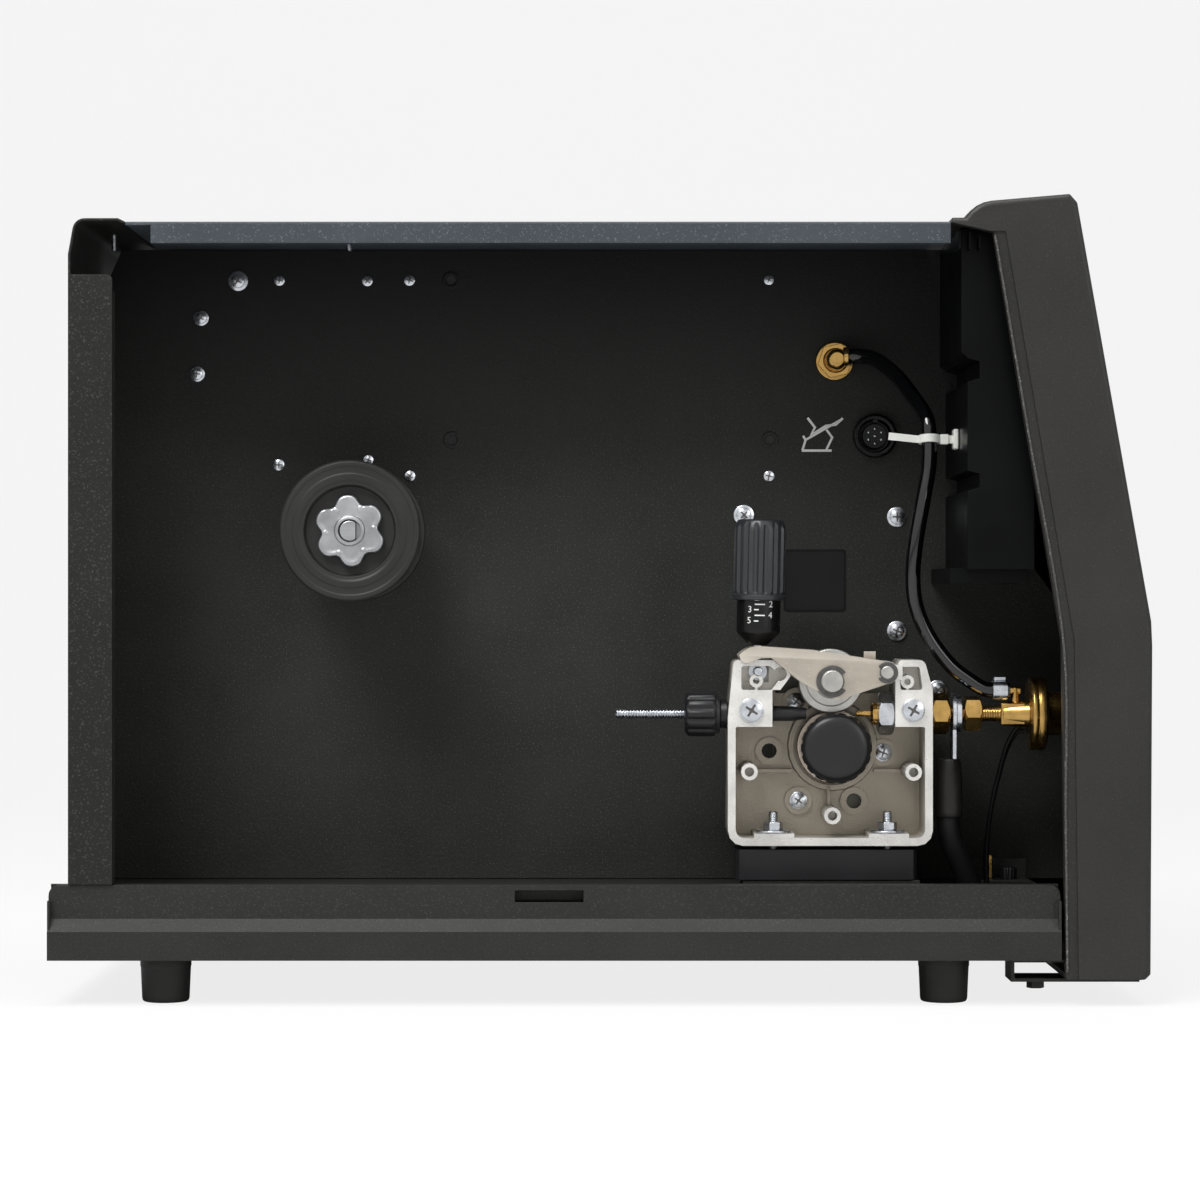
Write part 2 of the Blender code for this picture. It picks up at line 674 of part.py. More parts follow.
def front_bezel():
    """Moulded front: a hooded frame round the control panel, with a wing on either side."""
    outer, inner = bezel_lines()
    side = slab(outer + inner, -SIDE_Y, SIDE_Y)
    spots = [Vector(point) for point in outer]
    rims = [e for e in side.edges if abs(e.verts[0].co.y) > SIDE_Y - 1 and e.verts[0].co.y == e.verts[1].co.y
            and all(any((Vector((v.co.x, v.co.z)) - p).length < 0.01 for p in spots) for v in e.verts)]
    rims = [e for e in rims if len(e.link_faces) == 2 and e.calc_face_angle() > 1]
    bmesh.ops.bevel(side, geom=rims, offset=BEZEL_ROUND, segments=4, affect="EDGES", profile=0.5, clamp_overlap=True)
    outward(side)
    hollow_outer = [
        (BEZEL_BACK_TOP_X - 5, CABINET_TOP_Z - 20),
        (BEZEL_BACK_TOP_X - 5, CABINET_TOP_Z + SEAT),
        *arc((BEZEL_BACK_TOP_X + 25, CABINET_TOP_Z - 8), BEZEL_ARCH - BEZEL_WALL, 150, 95, 4),
        (PANEL_TOP_X - PANEL_THICK, BEZEL_PEAK_Z - BEZEL_WALL),
        (PANEL_LOW_X - PANEL_THICK, BEZEL_KNEE_Z),
        (BEZEL_FRONT_X - BEZEL_WALL, BEZEL_KNEE_Z - 12),
        (BEZEL_FRONT_X - BEZEL_WALL - 1, BEZEL_BOTTOM_Z + BEZEL_WALL),
        (BEZEL_PEAK_X - BEZEL_BAND - 30, BEZEL_BOTTOM_Z + BEZEL_WALL),
    ]
    hollow = slab(hollow_outer, -SIDE_Y + BEZEL_RIM, SIDE_Y - BEZEL_RIM)
    recess = [
        (PANEL_TOP_X, BEZEL_PEAK_Z - PANEL_HOOD),
        (BEZEL_PEAK_X + 60, BEZEL_PEAK_Z - PANEL_HOOD + 20),
        (BEZEL_FRONT_X + 10, BEZEL_KNEE_Z + 6),
        (PANEL_LOW_X, BEZEL_KNEE_Z + 6),
    ]
    wing = 22.0
    face = slab(recess, -SIDE_Y + wing, SIDE_Y - wing)
    bay_hole = rod(BEZEL_FRONT_X - 20, BEZEL_FRONT_X + 10, SOCKET_NECK + SEAT, (WIRE_Y, WIRE_Z), "X", 28)
    grooves = []
    for low, high in ((-SIDE_Y - 1, -SIDE_Y + 1.5), (SIDE_Y - 1.5, SIDE_Y + 1)):
        near = [(x - 1, z) for x, z in inner[:3]]
        grooves.append(slab(near + [(x + BEZEL_GROOVE, z) for x, z in inner[2::-1]], low, high))
    return node("front_bezel", cut(side, hollow, face, bay_hole, *grooves), "black_plastic")


def panel_frame():
    """Axes of the sloping control panel: foot point, direction up the slope and outward normal."""
    foot = Vector((PANEL_LOW_X, 0, BEZEL_KNEE_Z + 6))
    head = Vector((PANEL_TOP_X, 0, BEZEL_PEAK_Z - PANEL_HOOD))
    up = (head - foot).normalized()
    return foot, up, Vector((up.z, 0, -up.x))


def on_panel(bm, rise):
    """Carry a piece modelled on +Z from the origin out onto the middle of the control panel's face."""
    foot, up, out = panel_frame()
    across = up.cross(out)
    spot = foot + up * rise
    frame = Matrix((across, up, out)).transposed().to_4x4()
    bmesh.ops.transform(bm, matrix=Matrix.Translation(spot) @ frame, verts=bm.verts)
    return bm


def control_knob(name, rise):
    profile = [
        (SEAT, 0.0), (SEAT, KNOB_RADIUS), (2.5, KNOB_RADIUS), (KNOB_HEIGHT - 1, KNOB_RADIUS - 1.5),
        (KNOB_HEIGHT, KNOB_RADIUS - 2.5), (KNOB_HEIGHT, 0.0),
    ]
    body = turned(profile, (0, 0), "Z", 20)
    pointer = block((-1.2, KNOB_RADIUS - 7, KNOB_HEIGHT - 2), (1.2, KNOB_RADIUS - 2.2, KNOB_HEIGHT + 0.6))
    return node(name, on_panel(joined(body, pointer), rise), "black_plastic")


def control_housing():
    """Stepped inner housing of the front controls, hung over the wire bay and open at its back."""
    left, right, low = HOUSING_LEFT_X, HOUSING_RIGHT_X, HOUSING_LOW_Z
    high = CABINET_TOP_Z - SHEET - 4 * SEAT
    front = -HOUSING_REACH
    step = HOUSING_STEP
    outline = [
        (left + step, low), (right, low), (right, low + 55), (right - 5, low + 128),
        (right - 9, high), (left, high), (left, high - 72),
        (left + step, high - 75), (left + step, low + 124), (left + 3 * step, low + 122),
        (left + 3 * step, low + 112), (left + step, low + 110), (left + step, low + 58),
        (left + 3 * step, low + 56), (left + 3 * step, low + 48), (left + step, low + 46),
    ]
    shell = slab(outline, front, PARTITION_Y - SEAT)
    wall = 3.0
    void = [(left + 4 * step, low + wall), (right - wall, low + wall), (right - wall, low + 54),
            (right - 5 - wall, low + 126), (right - 9 - wall, high - wall), (left + 4 * step, high - wall)]
    lip = block((left + step - 9, front + 14, low - 8), (right - 2, PARTITION_Y - SEAT, low + 1))
    lip_void = block((left + step - 7, front + 16, low - 9), (right - 4, PARTITION_Y + 5, low - 2))
    body = cut(joined(shell, lip), slab(void, front + wall, PARTITION_Y + 5), lip_void)
    return node("control_housing", body, "black_plastic")


def bezel_bracket():
    """Bent plate that bolts the bezel's foot to the base pan, with its bolt head."""
    left = PAN_RIGHT_X - 28
    top = PAN_BOTTOM_Z - SEAT
    high, low = BEZEL_BOTTOM_Z - SEAT, BEZEL_BOTTOM_Z - SEAT - 2
    near, far = -SIDE_Y + BEZEL_RIM + 3, -SIDE_Y + PAN_RETURN - 4
    plate = block((left, near, top - 2), (BEZEL_FRONT_X - 22, far, top), 0.4)
    leg = block((left, near, low), (left + 2, far, top - 1))
    shelf = block((left, near, low), (BEZEL_FRONT_X - 6, far, high))
    bolt = rod(low - 5, low + 1, 5.2, (left + 16, (near + far) / 2), "Z", 6)
    return node("bezel_bracket", joined(plate, leg, shelf, bolt), "powder_coat")


# ---------------------------------------------------------------- spool hub

HUB = (HUB_X, HUB_Z)
HUB_FLOOR_Y = HUB_FRONT_Y + HUB_CAP_THICK - 1.5  # floor of the cap's recess
HUB_BACK_Y = HUB_FRONT_Y + HUB_CAP_THICK + MANDREL_LENGTH + HUB_FLANGE_THICK


def spindle():
    """Fixed axle: flange behind the partition, spacer sleeve, axle and flatted end."""
    r = SPINDLE_RADIUS
    profile = [
        (PARTITION_Y + SHEET + SEAT + 4, 0.0),
        (PARTITION_Y + SHEET + SEAT + 4, 22.0),
        (PARTITION_Y + SHEET + SEAT, 22.0),
        (PARTITION_Y + SHEET + SEAT, r + 3),
        (HUB_BACK_Y + SEAT, r + 3),
        (HUB_BACK_Y + SEAT, r),
        (STAR_FRONT_Y + 1.0, r),
        (STAR_FRONT_Y + 0.2, r - 0.8),
        (STAR_FRONT_Y + 0.2, 0.0),
    ]
    axle = turned(profile, HUB, "Y", 24)
    flat = block((HUB_X + r * 0.55, STAR_FRONT_Y - 5, HUB_Z - 10), (HUB_X + 12, HUB_FLOOR_Y - SEAT, HUB_Z + 10))
    return node("spool_spindle", cut(axle, flat), "zinc_steel")


def mandrel():
    """Ribbed drum that the wire spool sits on, with its rear flange, bored for the spindle."""
    back = HUB_BACK_Y
    shoulder = back - HUB_FLANGE_THICK
    front = shoulder - MANDREL_LENGTH
    bore = SPINDLE_RADIUS + SEAT
    profile = [
        (back, bore), (back, HUB_CAP_RADIUS - 1), (back - 1, HUB_CAP_RADIUS),
        (shoulder + 1, HUB_CAP_RADIUS), (shoulder, HUB_CAP_RADIUS - 1),
        (shoulder, MANDREL_RADIUS), (front + 1, MANDREL_RADIUS), (front, MANDREL_RADIUS - 1),
        (front, BRAKE_POCKET), (back - 10, BRAKE_POCKET), (back - 10, bore),
    ]
    body = turned(profile, HUB, "Y", 20)
    lugs = []
    for i in range(3):
        angle = 90 + 120 * i
        spot = (HUB_X + (BRAKE_POCKET + MANDREL_RADIUS) / 2 * math.cos(math.radians(angle)),
                HUB_Z + (BRAKE_POCKET + MANDREL_RADIUS) / 2 * math.sin(math.radians(angle)))
        lugs.append(rod(front - 2, front + 12, 1.6, spot, "Y", 6))
    peg = rod(shoulder - 9, shoulder + 2, 4.5, (HUB_X + 34, HUB_Z), "Y", 8, 0.8)
    slots = [
        spun(block((HUB_X - 1.5, front - 1, HUB_Z + MANDREL_RADIUS - 2), (HUB_X + 1.5, shoulder - 6, HUB_Z + 40)),
             90 * i + 45, (HUB_X, 0, HUB_Z)) for i in range(4)
    ]
    return node("spool_mandrel", joined(cut(body, *slots), *lugs, peg), "black_plastic")


def hub_cap():
    """Dished retaining ring on the front of the mandrel."""
    back = HUB_FRONT_Y + HUB_CAP_THICK - SEAT
    profile = [
        (back, SPINDLE_RADIUS + SEAT + 4.4), (back, HUB_CAP_RADIUS - 2), (HUB_FRONT_Y + 1.5, HUB_CAP_RADIUS),
        (HUB_FRONT_Y, HUB_CAP_RADIUS - 1.5), (HUB_FRONT_Y, HUB_RECESS_RADIUS + 3),
        (HUB_FRONT_Y + 0.8, HUB_RECESS_RADIUS + 1.6), (HUB_FRONT_Y + 0.8, HUB_RECESS_RADIUS),
        (HUB_FLOOR_Y, HUB_RECESS_RADIUS - 1), (HUB_FLOOR_Y, SPINDLE_RADIUS + SEAT + 4.4),
    ]
    sockets = []
    for i in range(3):
        angle = math.radians(90 + 120 * i)
        reach = (BRAKE_POCKET + MANDREL_RADIUS) / 2
        spot = (HUB_X + reach * math.cos(angle), HUB_Z + reach * math.sin(angle))
        sockets.append(rod(HUB_FRONT_Y + 3, back + 1, 1.6 + SEAT, spot, "Y", 6))
    return node("spool_cap", cut(turned(profile, HUB, "Y", 24), *sockets), "black_plastic")


def brake_spring():
    """Coil spring that presses the friction washer on the mandrel."""
    turns, per_turn, wire = 4, 8, 0.9
    low, high = HUB_FLOOR_Y + 3.4, HUB_BACK_Y - 10 - 1.4
    coil = SPINDLE_RADIUS + 2.6
    route = []
    for i in range(turns * per_turn + 1):
        a = 2 * math.pi * i / per_turn
        y = low + (high - low) * i / (turns * per_turn)
        route.append((HUB_X + coil * math.cos(a), y, HUB_Z + coil * math.sin(a)))
    gap = (high - low) / turns - 2 * wire
    print(f"brake spring: least gap between its turns {gap:.2f} mm")
    return wound("brake_spring", route, wire, "zinc_steel")


def brake_washer():
    """Tinted ring between the star knob and the spring, sliding on the spindle."""
    back = HUB_FLOOR_Y + 2.2
    front = STAR_FRONT_Y + STAR_THICK + SEAT
    return node("brake_washer", rod(front, back, SPINDLE_RADIUS + SEAT + 3.6, HUB, "Y", 16, 0.3,
                                    SPINDLE_RADIUS + SEAT), "bronze_steel")


def star_knob():
    """Six-lobed retaining and brake knob with its raised nut collar."""
    outline = []
    mean = (STAR_TIP_RADIUS + STAR_VALLEY_RADIUS) / 2
    swing = (STAR_TIP_RADIUS - STAR_VALLEY_RADIUS) / 2
    for i in range(STAR_LOBES * 6):
        a = 2 * math.pi * i / (STAR_LOBES * 6)
        wave = math.cos(STAR_LOBES * a)
        r = mean + swing * (wave + 0.18 * (1 - math.cos(2 * STAR_LOBES * a)))
        phase = a + math.radians(95)
        outline.append((HUB_X + r * math.cos(phase), HUB_Z + r * math.sin(phase)))
    bore = circle(HUB, SPINDLE_RADIUS + SEAT, 20)
    plate = slab(outline, STAR_FRONT_Y + 1.4, STAR_FRONT_Y + STAR_THICK, "Y", [bore])
    collar = rod(STAR_FRONT_Y, STAR_FRONT_Y + 3, 9.2, HUB, "Y", 16, 0.5, SPINDLE_RADIUS + SEAT)
    return node("star_knob", joined(plate, collar), "zinc_steel")


# ---------------------------------------------------------------- wire drive

WIRE_Z = DRIVE_Z + WIRE_RISE
DRIVE_BACK_Y = DRIVE_FRONT_Y + CASTING_DEPTH
ARM_FRONT_Y = WIRE_Y - ARM_WIDTH / 2
ARM_BACK_Y = WIRE_Y + ARM_WIDTH / 2
PRESSURE_X = DRIVE_X + PRESSURE_OFFSET
PRESSURE_Z = DRIVE_Z + math.sqrt(
    (DRIVE_ROLLER_RADIUS + PRESSURE_ROLLER_RADIUS + ROLLER_GAP) ** 2 - PRESSURE_OFFSET ** 2)


def at_drive(x, z):
    """A place given from the drive roller's axis."""
    return (DRIVE_X + x, DRIVE_Z + z)


ARM_PIN = at_drive(ARM_PIN_X, ARM_PIN_Z)
HANDLE_PIN = at_drive(HANDLE_PIN_X, HANDLE_PIN_Z)


def drive_slab(outline, low, high, holes=()):
    place = [at_drive(x, z) for x, z in outline]
    return slab(place, low, high, "Y", [[at_drive(x, z) for x, z in hole] for hole in holes])


def drive_block(low_x, low_z, high_x, high_z, front, back):
    return block((DRIVE_X + low_x, front, DRIVE_Z + low_z), (DRIVE_X + high_x, back, DRIVE_Z + high_z))


def boss(x, z, radius, front, back):
    return rod(front, back, radius, at_drive(x, z), "Y", 12)


def drive_frame():
    """Die-cast drive housing: open tray with clamp blocks, ears, ribs and screw bosses."""
    front, back = DRIVE_FRONT_Y, DRIVE_BACK_Y
    floor = back - CASTING_BACK
    wall = CASTING_WALL
    left, right, low, high = -CASTING_LEFT, CASTING_RIGHT, -CASTING_BELOW, CASTING_ABOVE
    outline = rounded(
        [(left, low), (right, low), (right, high - 18), (right - 5, high), (right - 20, high),
         (EAR_RIGHT_X, high - 8), (EAR_RIGHT_X, CLAMP_HIGH), (EAR_LEFT_X, CLAMP_HIGH),
         (EAR_LEFT_X + 9, CLAMP_HIGH + 12), (EAR_LEFT_X - 2, high), (left + 3.4, high), (left, high - 34)],
        [CASTING_CORNER, CASTING_CORNER, 6, 4, 2, 1, 1, 1, 2, 3, 3, 12])
    body = drive_slab(outline, front, back)
    tray = rounded(
        [(left + wall, low + wall), (right - wall, low + wall), (right - wall, CLAMP_LOW), (left + wall, CLAMP_LOW)],
        [CASTING_CORNER - 4, CASTING_CORNER - 4, 1, 1])
    throat = [(CLAMP_LEFT_X, CLAMP_LOW - 2), (CLAMP_RIGHT_X, CLAMP_LOW - 2),
              (CLAMP_RIGHT_X, CLAMP_HIGH + 3), (CLAMP_LEFT_X, CLAMP_HIGH + 3)]
    left_pocket = rounded([(left + 8, CLAMP_HIGH + 3), (EAR_LEFT_X - 3, CLAMP_HIGH + 3),
                           (EAR_LEFT_X + 3, CLAMP_HIGH + 11), (EAR_LEFT_X - 4, high - 3.5), (left + 8, high - 3.5)], 1.5)
    right_pocket = rounded([(EAR_RIGHT_X + 3, CLAMP_HIGH + 3), (right - 6, CLAMP_HIGH + 3),
                            (right - 8, high - 4), (EAR_RIGHT_X + 3, high - 4)], 1.5)
    hollows = [drive_slab(shape, front - 1, floor) for shape in (tray, throat)]
    hollows += [drive_slab(shape, front - 1, front + EAR_POCKET) for shape in (left_pocket, right_pocket)]
    body = cut(body, *hollows)
    extras = []
    for x, z in COVER_BOSSES:
        extras.append(boss(x, z, 5.1, front + 0.6, floor + 1))
    for x, z in EAR_BOSSES:
        extras.append(boss(x, z, 4.1, front + 1.0, front + EAR_POCKET + 1))
        extras.append(drive_block(x - 0.9, CLAMP_HIGH - 1, x + 0.9, z - 2, front + 2, front + EAR_POCKET + 1))
    for x, z in (*GEARBOX_SCREWS, *DRAIN_HOLES):
        extras.append(boss(x, z, 8.5, floor - 2.4, floor + 1))
    ring = turned([(floor - 4, BEARING_RING), (floor - 4, BEARING_RING + 3), (floor + 1, BEARING_RING + 4),
                   (floor + 1, BEARING_RING)], at_drive(0, 0), "Y", 24)
    extras.append(ring)
    rib_z = COVER_BOSSES[0][1] - 1.8
    extras.append(drive_block(left + wall - 1, rib_z, -BEARING_RING - 1, rib_z + 1.8, floor - 6, floor + 1))
    extras.append(drive_block(BEARING_RING + 1, rib_z, right - wall + 1, rib_z + 1.8, floor - 6, floor + 1))
    low_boss = COVER_BOSSES[2]
    extras.append(drive_block(low_boss[0] - 0.9, low_boss[1], low_boss[0] + 0.9, -BEARING_RING - 1, floor - 6, floor + 1))
    for x in STUD_X:
        extras.append(drive_block(x - 12, low, x + 12, low + PAD_HEIGHT, front - 0.5, floor + 1))
    body = joined(body, *extras)
    lug = joined(
        rod(ARM_FRONT_Y + ARM_SHEET + SEAT, ARM_BACK_Y - ARM_SHEET - SEAT, ARM_PIN_RADIUS + 2.6, ARM_PIN, "Y", 24),
        drive_block(ARM_PIN_X, ARM_PIN_Z - 4.5, EAR_RIGHT_X + 4, ARM_PIN_Z + 4.5,
                    ARM_FRONT_Y + ARM_SHEET + SEAT, ARM_BACK_Y - ARM_SHEET - SEAT))
    body = joined(body, lug)
    arm_gap = SEAT + 0.3
    cuts = [
        # the arm's rear cheek passes through both ears
        drive_block(left - 5, HANDLE_PIN_Z + 1, EAR_LEFT_X + 12, high + 5,
                    ARM_BACK_Y - ARM_SHEET - arm_gap, ARM_BACK_Y + arm_gap),
        drive_block(CLAMP_LEFT_X, CLAMP_HIGH - 8, ARM_PIN_X + ARM_END_RADIUS + 0.8, high + 5,
                    ARM_BACK_Y - ARM_SHEET - arm_gap + 0.2, ARM_BACK_Y + arm_gap),
        # the tension rod swings out to the left between two cheeks
        drive_block(left - 5, HANDLE_PIN_Z - ROD_EYE_RADIUS - 1, HANDLE_PIN_X + ROD_EYE_RADIUS + 1.2, high + 5,
                    WIRE_Y - ROD_EYE_WIDTH / 2 - SEAT, WIRE_Y + ROD_EYE_WIDTH / 2 + SEAT),
        rod(front - 5, ARM_BACK_Y - ARM_SHEET, HANDLE_PIN_RADIUS + SEAT, HANDLE_PIN, "Y", 16),
        rod(ARM_FRONT_Y - 5, ARM_BACK_Y, ARM_PIN_RADIUS + SEAT, ARM_PIN, "Y", 16),
        rod(DRIVE_X - CASTING_LEFT - 5, DRIVE_X + CLAMP_LEFT_X + 5, GUIDE_RADIUS + SEAT, (WIRE_Y, WIRE_Z), "X", 24),
        rod(DRIVE_X + CLAMP_RIGHT_X - 5, DRIVE_X + CASTING_RIGHT + 5, OUTLET_RADIUS + SEAT, (WIRE_Y, WIRE_Z), "X", 24),
        rod(floor - 5, back + 1, SHAFT_RADIUS + 1.5, at_drive(0, 0), "Y", 24),
        boss(EAR_LEFT_X + 2, HANDLE_PIN_Z - 1.5, 4.2, front - 1, front + EAR_POCKET),
    ]
    cuts += [boss(x, z, 2.9, front - 1, front + 14) for x, z in COVER_BOSSES]
    cuts += [boss(x, z, 2.0, front - 1, front + 8) for x, z in EAR_BOSSES]
    cuts += [boss(x, z, 4.7, floor - 4, back + 1) for x, z in DRAIN_HOLES]
    for x in STUD_X:
        cuts.append(rod(DRIVE_Z + low - 1, DRIVE_Z + low + PAD_HEIGHT + 1, STUD_RADIUS + SEAT,
                        (DRIVE_X + x, STUD_Y), "Z", 16))
    return node("drive_frame", cut(body, *cuts), "cast_aluminium")


def mount_stud(name, x):
    """Insulated mounting stud with its washer and nut, standing in the casting's foot."""
    top = DRIVE_Z - CASTING_BELOW + PAD_HEIGHT + SEAT
    spot = (DRIVE_X + x, STUD_Y)
    shank = rod(BASE_TOP_Z + SEAT - 6, top + 12.5, STUD_RADIUS, spot, "Z", 10, 0.6)
    washer = rod(top, top + 1.6, 11.0, spot, "Z", 16)
    nut = rod(top + 1.0, top + 6.6, 5.8, spot, "Z", 6, 0.4)
    return node(name, joined(shank, washer, nut), "zinc_steel")


def drive_base():
    """Insulating block that carries the casting over the floor."""
    low = BASE_LOW_Z
    shape = rounded([(DRIVE_X - 60.7, DRIVE_FRONT_Y + 2), (DRIVE_X + 48.6, DRIVE_FRONT_Y + 2),
                     (DRIVE_X + 48.6, DRIVE_BACK_Y - 1), (DRIVE_X - 60.7, DRIVE_BACK_Y - 1)], 5)
    body = slab(shape, low, BASE_TOP_Z, "Z")
    sockets = [rod(BASE_TOP_Z - 8, BASE_TOP_Z + 1, STUD_RADIUS + SEAT, (DRIVE_X + x, STUD_Y), "Z", 16) for x in STUD_X]
    return node("drive_base", cut(body, *sockets), "black_plastic")


def base_plate():
    """Folded steel bridge that raises the drive over the floor, with its front edge turned down."""
    top = BASE_LOW_Z - SEAT
    path = [(DRIVE_FRONT_Y + 3, FLOOR_Z + SEAT), (DRIVE_FRONT_Y + 3, top),
            (DRIVE_BACK_Y - 2, top), (DRIVE_BACK_Y - 2, FLOOR_Z + SEAT + SHEET),
            (DRIVE_BACK_Y + 12, FLOOR_Z + SEAT + SHEET)]
    return node("drive_base_plate",
                slab(sheet(path, -SHEET), DRIVE_X - 56, DRIVE_X + 50, "X"), "powder_coat")


def gearbox():
    """Gear housing behind the casting, turned down to the motor's spigot."""
    low = DRIVE_BACK_Y + SEAT
    case = slab(rounded([at_drive(-34, -44), at_drive(40, -44), at_drive(58, -20), at_drive(58, 22),
                         at_drive(34, 42), at_drive(-34, 42)], [8, 14, 14, 14, 10, 8], 4),
                low, PARTITION_Y - 4)
    neck = rod(PARTITION_Y - 6, PARTITION_Y + 12, GEARBOX_RADIUS, at_drive(0, 0), "Y", 32)
    bore = rod(low - 1, low + 26, SHAFT_RADIUS + 0.4, at_drive(0, 0), "Y", 16)
    return node("gearbox", cut(joined(case, neck), bore), "cast_aluminium")


def motor():
    low = PARTITION_Y + 12 + SEAT
    high = low + MOTOR_LENGTH
    r = MOTOR_RADIUS
    profile = [(low, 0.0), (low, r - 2), (low + 2, r), (high - 12, r), (high - 12, r - 1.5), (high - 1.5, r - 1.5),
               (high, r - 3), (high, 8.0), (high + 5, 8.0), (high + 5, 0.0)]
    return node("motor", turned(profile, at_drive(0, 0), "Y", 16), "powder_coat")


def drive_shaft():
    front = WIRE_Y - ROLLER_WIDTH / 2 - 1
    return node("drive_shaft", rod(front, DRIVE_BACK_Y + SEAT + 25, SHAFT_RADIUS, at_drive(0, 0), "Y", 16, 0.6),
                "zinc_steel")


def drive_roller():
    """Grooved steel feed roller."""
    low, high = WIRE_Y - ROLLER_WIDTH / 2, WIRE_Y + ROLLER_WIDTH / 2
    r = DRIVE_ROLLER_RADIUS
    bore = SHAFT_RADIUS + SEAT
    profile = [(low, bore), (low, r - 0.6), (low + 0.6, r), (WIRE_Y - 0.9, r), (WIRE_Y, r - 0.9), (WIRE_Y + 0.9, r),
               (high - 0.6, r), (high, r - 0.6), (high, r - 6), (DRIVE_BACK_Y - CASTING_BACK - SEAT, r - 6),
               (DRIVE_BACK_Y - CASTING_BACK - SEAT, bore)]
    return node("drive_roller", turned(profile, at_drive(0, 0), "Y", 20), "zinc_steel")


def roller_cap():
    """Black fluted retaining cap on the drive roller."""
    low = ROLLER_CAP_FRONT_Y
    high = WIRE_Y - ROLLER_WIDTH / 2 - SEAT
    r = ROLLER_CAP_RADIUS
    count = 16
    rim = []
    for i in range(count):
        a = 360 * i / count
        for turn, reach in ((-5.0, r - 0.7), (-2.6, r), (2.6, r), (5.0, r - 0.7)):
            b = math.radians(a + turn)
            rim.append(at_drive(reach * math.cos(b), reach * math.sin(b)))
    skirt = slab(rim, high - 9, high)
    dome = turned([(low, 0.0), (low, r - 4.0), (low + 0.8, r - 2.6), (low + 3.0, r - 1.0), (high - 8, r - 1.0),
                   (high - 8, 0.0)], at_drive(0, 0), "Y", 24)
    bore = rod(high - 3, high + 1, SHAFT_RADIUS + SEAT, at_drive(0, 0), "Y", 16)
    return node("roller_cap", cut(joined(skirt, dome), bore), "black_plastic")


def arm_outline():
    """Side of the pressure arm: saddle arc on the left, peak under the axle, round right end."""
    saddle = arc((HANDLE_PIN_X, HANDLE_PIN_Z), SADDLE_RADIUS, 140, 90, 6)
    end = arc((ARM_PIN_X, ARM_PIN_Z), ARM_END_RADIUS, 78, -75, 8)
    axle_x = PRESSURE_X - DRIVE_X
    axle_z = PRESSURE_Z - DRIVE_Z
    return [
        *saddle,
        (axle_x - 12, HANDLE_PIN_Z + SADDLE_RADIUS - 2.3),
        *end,
        (axle_x + 6, axle_z - 10.4),
        (axle_x + 2.5, axle_z - 11),
        (axle_x - 4, axle_z - 8),
        (axle_x - 18.8, axle_z - 0.4),
        (HANDLE_PIN_X + 7.5, HANDLE_PIN_Z + 8.2),
        (HANDLE_PIN_X + 1.5, HANDLE_PIN_Z + 8.0),
        (HANDLE_PIN_X - 7.2, HANDLE_PIN_Z + 5.0),
        (HANDLE_PIN_X - 10.5, HANDLE_PIN_Z + 6.4),
    ]


def pressure_arm():
    """Stamped channel: two cheeks bridged by a top web that is slotted for the tension rod."""
    bores = [
        circle((ARM_PIN_X, ARM_PIN_Z), ARM_PIN_RADIUS + SEAT, 16),
        circle((PRESSURE_X - DRIVE_X, PRESSURE_Z - DRIVE_Z), AXLE_RADIUS + SEAT, 20),
    ]
    full = drive_slab(arm_outline(), ARM_FRONT_Y, ARM_BACK_Y, bores)
    web_right = PRESSURE_X - DRIVE_X - 14
    t = ARM_SHEET
    under = [
        *arc((HANDLE_PIN_X, HANDLE_PIN_Z), SADDLE_RADIUS - t, 152, 90, 6),
        (web_right, HANDLE_PIN_Z + SADDLE_RADIUS - 2.1 - t),
        (web_right, CASTING_ABOVE + 20),
        (CASTING_RIGHT, CASTING_ABOVE + 20),
        (CASTING_RIGHT, CLAMP_HIGH - 15),
        (-CASTING_LEFT, CLAMP_HIGH - 15),
        (-CASTING_LEFT, HANDLE_PIN_Z + 7.1),
    ]
    inside = drive_slab(under, ARM_FRONT_Y + t, ARM_BACK_Y - t)
    slot = drive_block(-CASTING_LEFT - 5, HANDLE_PIN_Z + 3, HANDLE_PIN_X + ROD_RADIUS + 2.4, CASTING_ABOVE + 20,
                       WIRE_Y - ROD_RADIUS - 0.9, WIRE_Y + ROD_RADIUS + 0.9)
    tab = drive_block(ARM_PIN_X - 14, ARM_PIN_Z + 5, ARM_PIN_X - 7, ARM_PIN_Z + 12.6, ARM_FRONT_Y + 0.2, ARM_FRONT_Y + t - 0.2)
    return node("pressure_arm", joined(cut(full, inside, slot), tab), "bronze_steel")


def clipped_pin(name, centre, radius, low, high, clip_radius, opening, paint):
    """Pin with a C-clip seated in front of the arm; the clip's gap faces the given way."""
    pin = rod(low, high, radius, centre, "Y", 16, 0.5)
    clip_at = ARM_FRONT_Y - SEAT - 1.2
    ring = rod(clip_at, clip_at + 1.2, clip_radius, centre, "Y", 20)
    wedge = slab([centre,
                  (centre[0] + 20 * math.cos(math.radians(opening - 32)), centre[1] + 20 * math.sin(math.radians(opening - 32))),
                  (centre[0] + 20 * math.cos(math.radians(opening + 32)), centre[1] + 20 * math.sin(math.radians(opening + 32)))],
                 clip_at - 1, clip_at + 2.2)
    return node(name, joined(cut(ring, wedge), pin), paint)


